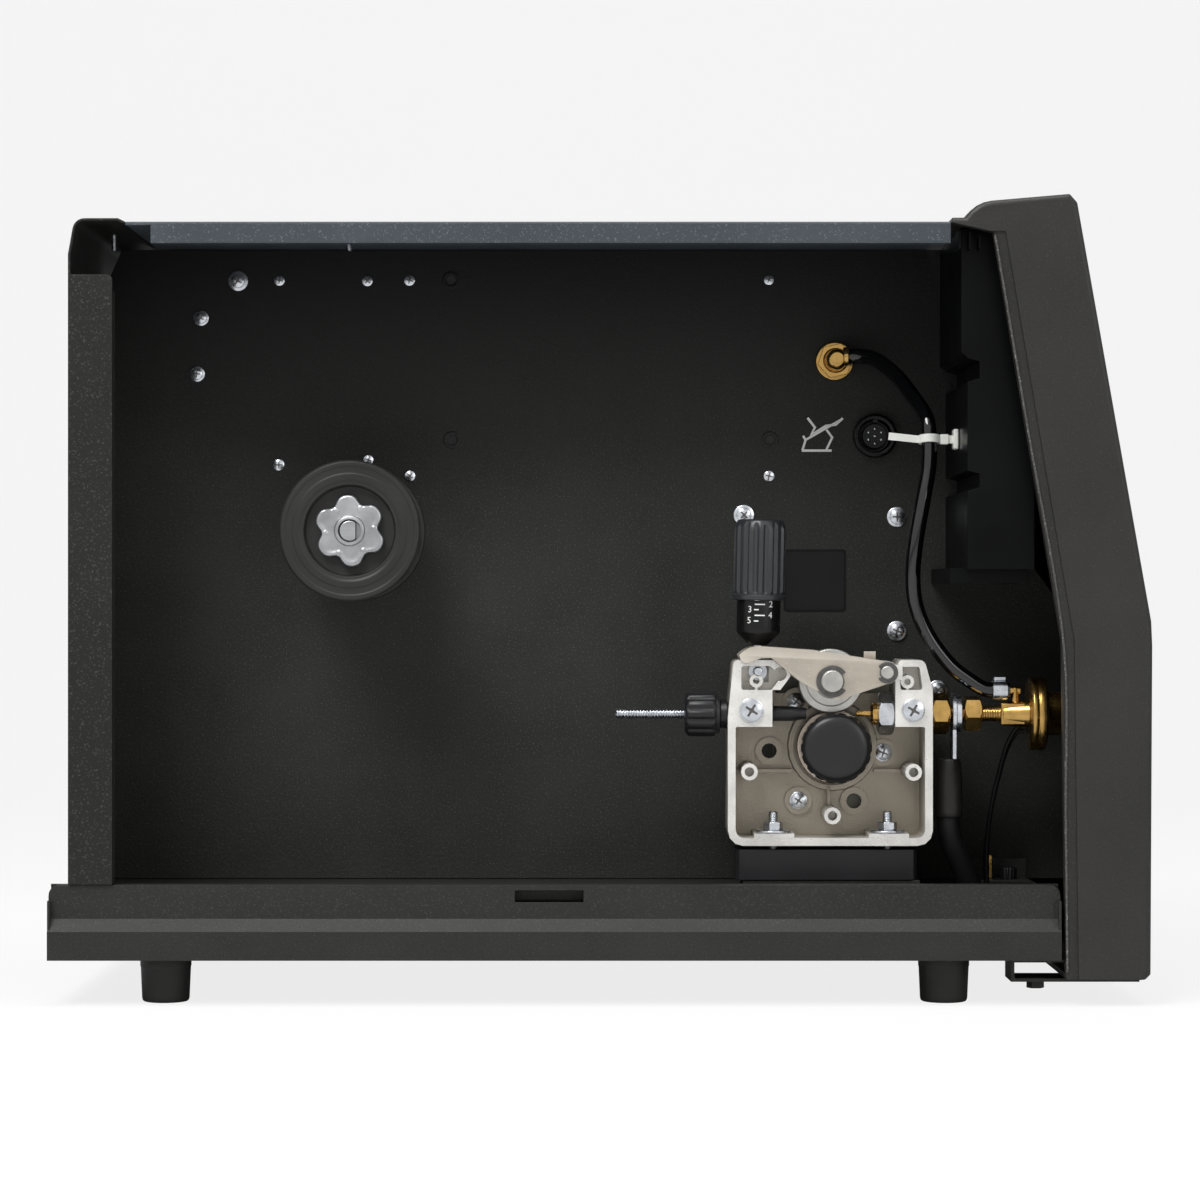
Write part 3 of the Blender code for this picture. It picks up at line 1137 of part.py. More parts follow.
def pressure_roller():
    low, high = WIRE_Y - ROLLER_WIDTH / 2, WIRE_Y + ROLLER_WIDTH / 2
    r = PRESSURE_ROLLER_RADIUS
    near, far = ARM_FRONT_Y + ARM_SHEET + SEAT, ARM_BACK_Y - ARM_SHEET - SEAT
    hub = AXLE_RADIUS + 3.4
    bore = AXLE_RADIUS + SEAT
    profile = [(near, bore), (near, hub), (low - 3, hub), (low - 3, 15.2), (low, 15.2), (low, r - 0.6), (low + 0.6, r),
               (high - 0.6, r), (high, r - 0.6), (high, hub), (far, hub), (far, bore)]
    return node("pressure_roller", turned(profile, (PRESSURE_X, PRESSURE_Z), "Y", 20), "zinc_steel")


# ---------------------------------------------------------------- tension handle


def leaned(bm):
    """Tilt a piece of the tension handle from upright to its resting lean about its pin."""
    return spun(bm, HANDLE_LEAN, (HANDLE_PIN[0], 0, HANDLE_PIN[1]))


HANDLE = (HANDLE_PIN[0], WIRE_Y)  # the handle's axis, before its lean
PIN_Z = HANDLE_PIN[1]
TIP_Z = PIN_Z + SADDLE_RADIUS + SEAT
CAP_LOW_Z = TIP_Z + PLUNGER_SHOWN
CAP_TOP_Z = CAP_LOW_Z + CAP_LENGTH
CAP_CEILING_Z = CAP_TOP_Z - 9
PLUNGER_TOP_Z = CAP_LOW_Z + 13
PLUNGER_FLOOR_Z = TIP_Z + 9


def tension_rod():
    """Eyed rod hinged on a pin in the casting."""
    eye = rod(WIRE_Y - ROD_EYE_WIDTH / 2, WIRE_Y + ROD_EYE_WIDTH / 2, ROD_EYE_RADIUS, HANDLE_PIN, "Y", 16)
    shank = rod(PIN_Z, CAP_TOP_Z - 6, ROD_RADIUS, HANDLE, "Z", 16, 0.6)
    hole = rod(WIRE_Y - ROD_EYE_WIDTH, WIRE_Y + ROD_EYE_WIDTH, HANDLE_PIN_RADIUS + SEAT, HANDLE_PIN, "Y", 16)
    return node("tension_rod", leaned(cut(joined(eye, shank), hole)), "zinc_steel")


def handle_pin():
    return node("handle_pin", rod(DRIVE_FRONT_Y - 0.6, WIRE_Y + ROD_EYE_WIDTH / 2 + 8, HANDLE_PIN_RADIUS, HANDLE_PIN,
                                  "Y", 16, 0.4), "zinc_steel")


def tension_plunger():
    """Scaled sleeve that presses on the arm's saddle, coned down to the rod."""
    bore = ROD_RADIUS + SEAT
    r = PLUNGER_RADIUS
    profile = [(TIP_Z, bore), (TIP_Z, 5.2), (TIP_Z + 1, 6.2), (TIP_Z + 7.4, r - 0.4), (TIP_Z + 8.6, r),
               (PLUNGER_TOP_Z, r), (PLUNGER_TOP_Z, r - 2.2), (PLUNGER_FLOOR_Z, r - 2.2), (PLUNGER_FLOOR_Z, bore)]
    return node("tension_plunger", leaned(turned(profile, HANDLE, "Z", 16)), "black_plastic")


def tension_spring():
    """Pressure spring between the plunger's floor and the thrust washer."""
    turns, per_turn, wire = 6, 8, 1.1
    low, high = PLUNGER_FLOOR_Z + wire + SEAT, CAP_CEILING_Z - 2 - 2 * SEAT - wire
    coil = PLUNGER_RADIUS - 2.2 - wire - 0.6
    lean = Matrix.Rotation(math.radians(HANDLE_LEAN), 3, "Y")
    pin = Vector((HANDLE_PIN[0], WIRE_Y, PIN_Z))
    route = []
    for i in range(turns * per_turn + 1):
        a = 2 * math.pi * i / per_turn
        z = low + (high - low) * i / (turns * per_turn)
        spot = Vector((HANDLE_PIN[0] + coil * math.cos(a), WIRE_Y + coil * math.sin(a), z))
        route.append(pin + lean @ (spot - pin))
    print(f"tension spring: least gap between its turns {(high - low) / turns - 2 * wire:.2f} mm")
    return wound("tension_spring", route, wire, "zinc_steel")


def tension_washer():
    high = CAP_CEILING_Z - SEAT
    return node("tension_washer", leaned(rod(high - 2, high, PLUNGER_RADIUS - 3, HANDLE, "Z", 16, 0.0,
                                             ROD_RADIUS + SEAT)), "zinc_steel")


def tension_cap():
    """Fluted grip that screws down the rod, hollow over the plunger, with a collar at its foot."""
    count = CAP_FLUTES
    r = CAP_RADIUS
    rim = []
    for i in range(count):
        a = 360 / count * i
        for turn, reach in ((-0.36, r - 0.9), (-0.22, r), (0.22, r), (0.36, r - 0.9)):
            b = math.radians(a + turn * 360 / count)
            rim.append((HANDLE[0] + reach * math.cos(b), HANDLE[1] + reach * math.sin(b)))
    grip = slab(rim, CAP_LOW_Z + 3.2, CAP_TOP_Z - 4, "Z")
    crown = turned([(CAP_TOP_Z - 5, 0.0), (CAP_TOP_Z - 5, r - 1.2), (CAP_TOP_Z - 1.4, r - 1.4), (CAP_TOP_Z, r - 3.2),
                    (CAP_TOP_Z, 0.0)], HANDLE, "Z", 16)
    collar = turned([(CAP_LOW_Z, 0.0), (CAP_LOW_Z, r + 0.2), (CAP_LOW_Z + 3.2, r + 0.5), (CAP_LOW_Z + 3.8, r - 0.6),
                     (CAP_LOW_Z + 3.8, 0.0)], HANDLE, "Z", 16)
    hollow = rod(CAP_LOW_Z - 1, CAP_CEILING_Z, PLUNGER_RADIUS + SEAT, HANDLE, "Z", 20)
    thread = rod(CAP_CEILING_Z - 1, CAP_TOP_Z + 1, ROD_RADIUS + SEAT, HANDLE, "Z", 16)
    return node("tension_cap", leaned(cut(joined(grip, crown, collar), hollow, thread)), "black_plastic")


# ---------------------------------------------------------------- wire inlet and outlet

LINE = (WIRE_Y, WIRE_Z)


def inlet_guide():
    """Moulded inlet tube clamped in the left block, tapering to the rollers."""
    left = DRIVE_X - CASTING_LEFT
    profile = [
        (left - 4.2, GUIDE_BORE), (left - 4.2, 8.6), (left - SEAT, 9.0), (left - SEAT, GUIDE_RADIUS),
        (DRIVE_X + CLAMP_LEFT_X + 1, GUIDE_RADIUS), (DRIVE_X + CLAMP_LEFT_X + 1, 4.6),
        (DRIVE_X + GUIDE_TIP_X - 8, 4.4), (DRIVE_X + GUIDE_TIP_X, 3.2), (DRIVE_X + GUIDE_TIP_X, GUIDE_BORE),
    ]
    return node("inlet_guide", turned(profile, LINE, "X", 16), "black_plastic")


def inlet_nut():
    """Fluted nut that clamps the liner in the inlet guide."""
    right = DRIVE_X - CASTING_LEFT - 4.2 - SEAT
    left = right - INLET_NUT_LENGTH
    count = 10
    rim = []
    for i in range(count):
        for turn, reach in ((-0.36, 12.8), (-0.2, 13.8), (0.2, 13.8), (0.36, 12.8)):
            b = 2 * math.pi * (i + turn) / count
            rim.append((WIRE_Y + reach * math.cos(b), WIRE_Z + reach * math.sin(b)))
    grip = slab(rim, left + 2, right - 3, "X")
    core = turned([(left, 0.0), (left, 11.6), (left + 2.4, 12.9), (right - 3.4, 12.9), (right - 2.0, 11.4),
                   (right, 11.0), (right, 0.0)], LINE, "X", 14)
    bore = rod(left - 1, right + 1, LINER_RADIUS + SEAT, LINE, "X", 12)
    return node("inlet_nut", cut(joined(grip, core), bore), "black_plastic")


def inlet_liner():
    """Spiral steel liner as one unbroken tube wound on a core."""
    right = DRIVE_X - CASTING_LEFT + 12
    left = right - LINER_LENGTH
    turns = int(LINER_LENGTH / LINER_PITCH)
    profile = [(left, 1.4)]
    for i in range(turns):
        x = left + LINER_PITCH * i
        profile += [(x + 0.02, LINER_RADIUS - 0.5), (x + LINER_PITCH / 2, LINER_RADIUS)]
    profile += [(right, LINER_RADIUS - 0.5), (right, 1.4)]
    return node("inlet_liner", turned(profile, LINE, "X", 6), "zinc_steel")


def outlet_guide():
    """Brass outlet body with its capillary nose, clamped in the right block."""
    left = DRIVE_X + OUTLET_LEFT_X
    nose = left - 9.0
    profile = [(nose, 0.8), (nose, 1.7), (left - 0.5, 1.9), (left - 0.5, 4.6), (left + 0.6, OUTLET_RADIUS),
               (ADAPTER_SPLIT_X, OUTLET_RADIUS), (ADAPTER_SPLIT_X, 0.8)]
    return node("outlet_guide", turned(profile, LINE, "X", 16), "brass")


def hex_nut(name, low, high, across, paint, bore, turn=0.0):
    """Chamfered hexagon nut on the wire line."""
    r = across / 2 / math.cos(math.pi / 6)
    flat = [(WIRE_Y + r * math.cos(math.radians(60 * i + turn)), WIRE_Z + r * math.sin(math.radians(60 * i + turn)))
            for i in range(6)]
    body = slab(flat, low, high, "X")
    c = r * 0.12
    outside = turned([(low - 1, 1.0), (low - 1, r * 0.86), (low, r * 0.86 + 0.2), (low + c, r + 0.1), (high - c, r + 0.1),
                      (high, r * 0.86 + 0.2), (high + 1, r * 0.86), (high + 1, 1.0)], LINE, "X", 16)
    trimmed = mixed(body, [outside], "INTERSECT")
    return node(name, cut(trimmed, rod(low - 2, high + 2, bore, LINE, "X", 16)), paint)


def cable_lug():
    """Ring lug and contact washer between the connector nuts, folded down into the cable's crimp."""
    x = ADAPTER_SPLIT_X + 1.0
    plate = joined(
        rod(x, x + 2.4, 12.5, LINE, "X", 16),
        rod(x + 2, x + 5.6, 11.0, LINE, "X", 16),
        block((x, WIRE_Y - 8, WIRE_Z - LUG_DROP), (x + 2.4, WIRE_Y + 8, WIRE_Z), 0.0),
    )
    bore = rod(x - 1, x + 7, ADAPTER_ROD_RADIUS + SEAT, LINE, "X", 16)
    return node("cable_lug", cut(plate, bore), "zinc_steel")


def torch_adapter():
    """Brass torch connector: threaded tail, gas block and round flange behind the bezel."""
    tail = ADAPTER_SPLIT_X + SEAT
    block_low = ADAPTER_BLOCK_X
    disc_low = block_low + 17.0
    disc_high = disc_low + 9.6
    body = turned([
        (tail, 0.8), (tail, ADAPTER_ROD_RADIUS), (block_low + 1, ADAPTER_ROD_RADIUS), (block_low + 1, 7.0),
        (disc_low + 1, 8.4), (disc_low, ADAPTER_DISC_RADIUS - 1), (disc_low + 1.2, ADAPTER_DISC_RADIUS),
        (disc_high - 1.2, ADAPTER_DISC_RADIUS), (disc_high, ADAPTER_DISC_RADIUS - 1), (disc_high, SOCKET_BORE_WALL),
        (BEZEL_FRONT_X + 1.0, SOCKET_BORE_WALL), (BEZEL_FRONT_X + 1.0, SOCKET_BORE),
        (disc_high - 3, SOCKET_BORE), (disc_high - 3, 0.8)], LINE, "X", 16)
    lump = block((block_low, WIRE_Y - 6.4, WIRE_Z - 6.2), (block_low + 14, WIRE_Y + 6.4, WIRE_Z + 6.2), 1.0)
    barb = rod(WIRE_Z + 4, HOSE_END_Z + 1.5, 2.6, (block_low + 9, WIRE_Y), "Z", 12)
    nipple = rod(block_low + 9 - 7, block_low + 9 + 3, GAS_HOSE_BORE, (WIRE_Y, HOSE_END_Z), "X", 12, 0.4)
    return node("torch_adapter", joined(body, lump, barb, nipple), "brass")


def torch_flange():
    """Moulded guard ring round the torch connector, bearing on the bezel."""
    low = BEZEL_FRONT_X - BEZEL_WALL - 8
    profile = [(low, SOCKET_BORE_WALL + SEAT), (low, SOCKET_NECK), (BEZEL_FRONT_X + SEAT, SOCKET_NECK),
               (BEZEL_FRONT_X + SEAT, SOCKET_NECK + 6), (MACHINE_LENGTH / 2 - 1, SOCKET_NECK + 6),
               (MACHINE_LENGTH / 2, SOCKET_NECK + 5), (MACHINE_LENGTH / 2, SOCKET_BORE_WALL + SEAT)]
    return node("torch_flange", turned(profile, LINE, "X", 16), "black_plastic")


# ---------------------------------------------------------------- gas, sockets, cables

HOSE_END_Z = WIRE_Z + HOSE_END_RISE
GAS_PORT = (GAS_PORT_X, GAS_PORT_Z)


def gas_port():
    """Brass bulkhead in the partition: hexagon, round washer and an angled hose nipple."""
    body = turned([
        (PARTITION_Y + 14, 0.0), (PARTITION_Y + 14, GAS_PORT_THREAD - 1), (PARTITION_Y + 13, GAS_PORT_THREAD),
        (PARTITION_Y - SEAT, GAS_PORT_THREAD), (PARTITION_Y - SEAT, GAS_PORT_RING), (PARTITION_Y - 2.4, GAS_PORT_RING),
        (PARTITION_Y - 2.4, 7.0), (PARTITION_Y - 20, 6.0), (PARTITION_Y - 22, 4.4),
        (PARTITION_Y - 22, 0.0)], GAS_PORT, "Y", 16)
    hexagon = rod(PARTITION_Y - 7.4, PARTITION_Y - 2, GAS_PORT_RING - 1.6, GAS_PORT, "Y", 6, 0.5)
    start = Vector(GAS_ROUTE[0])
    nipple = rod(GAS_PORT_X, start.x + 2, GAS_HOSE_BORE, (start.y, start.z), "X", 12, 0.4)
    return node("gas_port", joined(body, hexagon, nipple), "brass")


def gas_hose():
    """Black gas hose, whole from the bulkhead to the torch connector, bored over both nipples."""
    return node("gas_hose", hose_mesh(GAS_ROUTE, GAS_HOSE_RADIUS, GAS_HOSE_BORE + 3 * SEAT, 8, 13.0), "rubber")


def hose_mesh(points, radius, bore, sides, spacing):
    """Tube with an open bore swept along a smooth route."""
    spots = smooth_route(points, spacing)
    bm = bmesh.new()
    rings = []
    side = Vector((0, 1, 0))
    for i, spot in enumerate(spots):
        ahead = (spots[min(i + 1, len(spots) - 1)] - spots[max(i - 1, 0)]).normalized()
        if i in (0, len(spots) - 1):
            ahead = Vector((1, 0, 0))
        side = (side - ahead * side.dot(ahead)).normalized()
        other = ahead.cross(side)
        ring = []
        for reach in (radius, bore):
            ring.append([bm.verts.new(spot + side * reach * math.cos(2 * math.pi * k / sides)
                                      + other * reach * math.sin(2 * math.pi * k / sides)) for k in range(sides)])
        rings.append(ring)
    for near, far in zip(rings, rings[1:]):
        for k in range(sides):
            n = (k + 1) % sides
            bm.faces.new((near[0][k], near[0][n], far[0][n], far[0][k]))
            bm.faces.new((near[1][n], near[1][k], far[1][k], far[1][n]))
    for ring in (rings[0], rings[-1]):
        for k in range(sides):
            n = (k + 1) % sides
            bm.faces.new((ring[0][k], ring[1][k], ring[1][n], ring[0][n]))
    return bm


def hose_clamp(name, x, y, z, width):
    """Ear clamp round the hose's end."""
    inner = GAS_HOSE_RADIUS + 2.5 * SEAT
    band = rod(x - width / 2, x + width / 2, inner + 1.0, (y, z), "X", 16, 0.0, inner)
    ear = block((x - width / 2 + 0.6, y - 3.0, z + inner + 0.6), (x + width / 2 - 0.6, y + 3.0, z + inner + 3.1), 0.5)
    return node(name, joined(band, ear), "zinc_steel")


def remote_socket():
    """Round multi-pole socket for the pedal, keyed and with its pins standing in the well."""
    r = REMOTE_RING
    front = PARTITION_Y - 6.0
    spot = (REMOTE_X, REMOTE_Z)
    shell = turned([(PARTITION_Y + 20, 0.0), (PARTITION_Y + 20, REMOTE_BODY), (PARTITION_Y - SEAT, REMOTE_BODY),
                    (PARTITION_Y - SEAT, r), (front + 1.2, r), (front, r - 1.4), (front, r - 3.2),
                    (front + 0.5, r - 3.7), (front + 11, r - 4.0), (front + 11, 0.0)], spot, "Y", 16)
    pins = [rod(front + 5, front + 12, 0.9, (REMOTE_X, REMOTE_Z), "Y", 6)]
    for i in range(6):
        a = math.radians(60 * i + 30)
        pins.append(rod(front + 5, front + 12, 0.9, (REMOTE_X + 4.6 * math.cos(a), REMOTE_Z + 4.6 * math.sin(a)), "Y", 6))
    key = block((REMOTE_X - 1.5, front + 2, REMOTE_Z + r - 5.6), (REMOTE_X + 1.5, front + 12, REMOTE_Z + r - 3.4))
    return node("remote_socket", joined(shell, *pins, key), "black_plastic")


def cable_tie():
    """White tie and its screw base, holding the hose to the control housing."""
    x, y, z = TIE_SPOT
    inner = GAS_HOSE_RADIUS + 2 * SEAT
    loop = spun(rod(z - 2.4, z + 2.4, inner + 1.3, (x, y), "Z", 16, 0.0, inner), -8.0, TIE_SPOT, "X")
    wall_x = HOUSING_LEFT_X + HOUSING_STEP - SEAT
    strap = block((x + GAS_HOSE_RADIUS + 1.0, y - 0.8, z - 2.4), (wall_x - 2, y + 0.8, z + 2.4))
    base = block((wall_x - 3, y - 6, z - 6), (wall_x, y + 6, z + 6), 0.6)
    tail = spun(block((x - GAS_HOSE_RADIUS - 20, y - 0.7, z - 2.2), (x - GAS_HOSE_RADIUS - 1.0, y + 0.7, z + 2.2)),
                6, (x - GAS_HOSE_RADIUS - 1, y, z))
    return node("cable_tie", joined(loop, strap, base, tail), "white_nylon")


def weld_cable():
    """Weld current cable from the lug down through the floor."""
    return tube("weld_cable", WELD_ROUTE, WELD_CABLE_RADIUS, "rubber", 7.0, 2)


def heat_shrink():
    """Shrunk sleeve over the lug's crimp, with its ring at the foot."""
    top = Vector((ADAPTER_SPLIT_X + 2.3, WIRE_Y, WIRE_Z - LUG_DROP - SEAT))
    foot = Vector(WELD_ROUTE[0]) + Vector((0, 0, 2 * SEAT))
    bm = bmesh.new()
    rings = []
    spots = ((0.0, 4.6, 8.8), (0.12, 5.6, 9.0), (0.4, 7.4, 8.6), (0.62, 7.8, 8.2), (0.84, 7.4, 7.4), (0.87, 8.2, 8.2),
             (0.98, 8.2, 8.2), (1.0, 7.6, 7.6))
    for share, across, deep in spots:
        middle = top.lerp(foot, share)
        rings.append([bm.verts.new((middle.x + across * math.cos(a), middle.y + deep * math.sin(a), middle.z))
                      for a in [2 * math.pi * k / 20 for k in range(20)]])
    for near, far in zip(rings, rings[1:]):
        for k in range(20):
            bm.faces.new((near[k], near[(k + 1) % 20], far[(k + 1) % 20], far[k]))
    bm.faces.new(rings[0])
    bm.faces.new(rings[-1])
    return node("heat_shrink", bm, "rubber")


def trigger_wire(name, route):
    return tube(name, route, 1.5, "rubber", 7.0, 1)


# ---------------------------------------------------------------- behind the partition


def gas_valve():
    """Solenoid gas valve with its inlet nipple through the rear panel."""
    x = REAR_SKIN_X + SHEET
    y, z = GAS_VALVE_Y, GAS_VALVE_Z
    body = block((x + 4, y - 13, z - 13), (x + 34, y + 13, z + 13))
    inlet = rod(x - 10, x + 5, 9.0, (y, z), "X", 6, 0.6)
    nut = rod(x + SEAT, x + 5, 12.0, (y, z), "X", 6, 0.5)
    coil = rod(z + 12, z + 48, 14.0, (x + 19, y), "Z", 12, 1.5)
    outlet = rod(x + 33, x + 52, 4.0, (y, z), "X", 8, 0.5)
    return node("gas_valve", joined(body, inlet, nut, coil, outlet), "brass")


def control_board():
    """Drive control board on its pillars behind the partition, with its tallest components."""
    back = PARTITION_Y + SHEET
    left, low = BOARD_LEFT_X, BOARD_LOW_Z
    right, high = left + BOARD_WIDTH, low + BOARD_HEIGHT
    card = slab(rectangle((left, low), (right, high), 3), back + 12, back + 13.6)
    parts = [rod(back + SEAT, back + 12.5, 3.0, (x, z), "Y", 6)
             for x in (left + 8, right - 8) for z in (low + 8, high - 8)]
    parts.append(block((left + 24, back + 13, low + 60), (left + 64, back + 38, low + 104)))
    for i in range(3):
        parts.append(rod(back + 13, back + 43, 9.0, (right - 22, low + 30 + 24 * i), "Y", 12))
    for i in range(2):
        parts.append(block((left + 26 + 9 * i, back + 13, low + 16), (left + 30 + 9 * i, back + 36, low + 48)))
    return node("control_board", joined(card, *parts), "circuit_board")


def place_axes():
    """Origins of the moving pieces, each on the axis that it turns or slides on."""
    foot, up, _ = panel_frame()
    set_origin(["spool_mandrel", "spool_cap", "brake_spring", "brake_washer", "star_knob"], (HUB_X, HUB_FRONT_Y, HUB_Z))
    set_origin(["drive_shaft", "drive_roller", "roller_cap"], (DRIVE_X, WIRE_Y, DRIVE_Z))
    set_origin(["pressure_arm", "pressure_axle"], (ARM_PIN[0], WIRE_Y, ARM_PIN[1]))
    set_origin(["pressure_roller"], (PRESSURE_X, WIRE_Y, PRESSURE_Z))
    set_origin(["tension_rod", "tension_spring", "tension_plunger", "tension_washer", "tension_cap"],
               (HANDLE_PIN[0], WIRE_Y, HANDLE_PIN[1]))
    for name, rise in KNOB_RISES.items():
        set_origin([name], foot + up * rise)


def build():
    start_clean()
    base_pan()
    feet()
    rear_panel()
    cover()
    partition()
    front_bezel()
    control_housing()
    bezel_bracket()
    for name, rise in KNOB_RISES.items():
        control_knob(name, rise)
    spindle()
    mandrel()
    hub_cap()
    brake_spring()
    brake_washer()
    star_knob()
    drive_frame()
    mount_stud("mount_stud_left", STUD_X[0])
    mount_stud("mount_stud_right", STUD_X[1])
    drive_base()
    base_plate()
    gearbox()
    motor()
    drive_shaft()
    drive_roller()
    roller_cap()
    pressure_arm()
    clipped_pin("arm_pin", ARM_PIN, ARM_PIN_RADIUS, ARM_FRONT_Y - 3.2, ARM_BACK_Y + 1.5, ARM_PIN_RADIUS + 2.3, 180,
                "zinc_steel")
    clipped_pin("pressure_axle", (PRESSURE_X, PRESSURE_Z), AXLE_RADIUS, ARM_FRONT_Y - 3.8, ARM_BACK_Y + 1.5,
                AXLE_RADIUS + 3.2, 10, "zinc_steel")
    pressure_roller()
    tension_rod()
    handle_pin()
    tension_plunger()
    tension_spring()
    tension_washer()
    tension_cap()
    inlet_guide()
    inlet_nut()
    inlet_liner()
    outlet_guide()
    hex_nut("outlet_locknut", DRIVE_X + 25.3, DRIVE_X + CLAMP_RIGHT_X - SEAT, 22.6, "zinc_steel",
            OUTLET_RADIUS + SEAT, 30)
    hex_nut("adapter_nut_inner", DRIVE_X + CASTING_RIGHT + SEAT, DRIVE_X + CASTING_RIGHT + 10.4, 22.0, "brass",
            OUTLET_RADIUS + SEAT, 20)
    cable_lug()
    hex_nut("adapter_nut_outer", ADAPTER_SPLIT_X + 8.5, ADAPTER_SPLIT_X + 18.5, 19.0, "brass",
            ADAPTER_ROD_RADIUS + SEAT, 10)
    torch_adapter()
    torch_flange()
    gas_port()
    gas_hose()
    hose_clamp("torch_clamp", GAS_ROUTE[-1][0] - 6, GAS_ROUTE[-1][1], GAS_ROUTE[-1][2], 8.6)
    remote_socket()
    cable_tie()
    weld_cable()
    heat_shrink()
    trigger_wire("trigger_wire_a", TRIGGER_ROUTE)
    trigger_wire("trigger_wire_b", [(x, y + 5.0, z - 3.6) for x, y, z in TRIGGER_ROUTE])
    gas_valve()
    control_board()
    place_axes()


build()
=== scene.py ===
"""Looks of the side-open wire feeder: finished surfaces, fine shapes and small fasteners."""
import json
import math

import bmesh
import bpy
from mathutils import Matrix, Vector

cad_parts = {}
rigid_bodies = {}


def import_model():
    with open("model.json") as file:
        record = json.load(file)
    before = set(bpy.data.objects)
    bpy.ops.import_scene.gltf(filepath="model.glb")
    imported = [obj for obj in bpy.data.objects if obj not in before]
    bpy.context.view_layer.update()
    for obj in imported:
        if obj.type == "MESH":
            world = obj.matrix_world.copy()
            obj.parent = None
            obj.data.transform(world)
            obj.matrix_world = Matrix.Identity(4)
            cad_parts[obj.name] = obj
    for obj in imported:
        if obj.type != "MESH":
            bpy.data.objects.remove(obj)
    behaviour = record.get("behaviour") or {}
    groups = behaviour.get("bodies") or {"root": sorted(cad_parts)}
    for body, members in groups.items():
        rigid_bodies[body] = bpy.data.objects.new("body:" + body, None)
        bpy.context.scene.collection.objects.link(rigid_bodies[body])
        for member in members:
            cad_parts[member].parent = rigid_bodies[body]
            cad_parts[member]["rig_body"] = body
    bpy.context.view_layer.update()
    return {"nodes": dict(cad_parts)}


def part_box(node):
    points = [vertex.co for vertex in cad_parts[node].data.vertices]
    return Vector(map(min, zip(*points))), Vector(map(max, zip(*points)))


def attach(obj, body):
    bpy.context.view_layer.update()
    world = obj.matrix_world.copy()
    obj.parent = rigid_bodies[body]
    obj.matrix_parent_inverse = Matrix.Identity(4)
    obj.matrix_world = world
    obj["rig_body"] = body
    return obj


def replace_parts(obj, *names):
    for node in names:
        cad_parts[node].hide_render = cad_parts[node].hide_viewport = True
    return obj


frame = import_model()
NODES = frame["nodes"]
MM = 0.001

# ---------------------------------------------------------------- materials


class Graph:
    """A short way to write a material's nodes."""

    def __init__(self, name):
        self.mat = bpy.data.materials.new(name)
        self.mat.use_nodes = True
        self.tree = self.mat.node_tree
        self.shader = self.tree.nodes["Principled BSDF"]
        self.coords = self.tree.nodes.new("ShaderNodeTexCoord").outputs["Object"]

    def put(self, kind, values=None, **links):
        made = self.tree.nodes.new(kind)
        for key, value in (values or {}).items():
            if hasattr(made, key):
                setattr(made, key, value)
            else:
                made.inputs[key].default_value = value
        for key, source in links.items():
            self.tree.links.new(source, made.inputs[key.replace("_", " ")])
        return made

    def stretched(self, scale):
        return self.put("ShaderNodeMapping", {"Scale": scale}, Vector=self.coords).outputs["Vector"]

    def noise(self, scale, detail=2.0, stretch=None, rough=0.5):
        source = self.stretched(stretch) if stretch else self.coords
        made = self.put("ShaderNodeTexNoise", {"Scale": scale, "Detail": detail, "Roughness": rough},
                        Vector=source)
        return made.outputs["Fac"]

    def spread(self, source, low, high, out_low=0.0, out_high=1.0):
        made = self.tree.nodes.new("ShaderNodeMapRange")
        self.tree.links.new(source, made.inputs["Value"])
        for key, value in zip(("From Min", "From Max", "To Min", "To Max"), (low, high, out_low, out_high)):
            made.inputs[key].default_value = value
        return made.outputs["Result"]

    def blend(self, share, first, second):
        made = self.tree.nodes.new("ShaderNodeMix")
        made.data_type = "RGBA"
        for socket, value in ((made.inputs[0], share), (made.inputs[6], first), (made.inputs[7], second)):
            if isinstance(value, bpy.types.NodeSocket):
                self.tree.links.new(value, socket)
            elif isinstance(value, (int, float)):
                socket.default_value = value
            else:
                socket.default_value = (*value, 1.0)
        return made.outputs[2]

    def colour(self, source):
        self.tree.links.new(source, self.shader.inputs["Base Color"])

    def rough(self, source):
        self.tree.links.new(source, self.shader.inputs["Roughness"])

    def bumps(self, *layers):
        """Layers are (height source, strength, depth in metres)."""
        normal = None
        for source, strength, depth in layers:
            made = self.put("ShaderNodeBump", {"Strength": strength, "Distance": depth})
            self.tree.links.new(source, made.inputs["Height"])
            if normal:
                self.tree.links.new(normal, made.inputs["Normal"])
            normal = made.outputs["Normal"]
        self.tree.links.new(normal, self.shader.inputs["Normal"])

    def done(self, **sockets):
        for key, value in sockets.items():
            self.shader.inputs[key.replace("_", " ")].default_value = value
        return self.mat


def scaled(colour, k):
    return tuple(min(1.0, c * k) for c in colour)


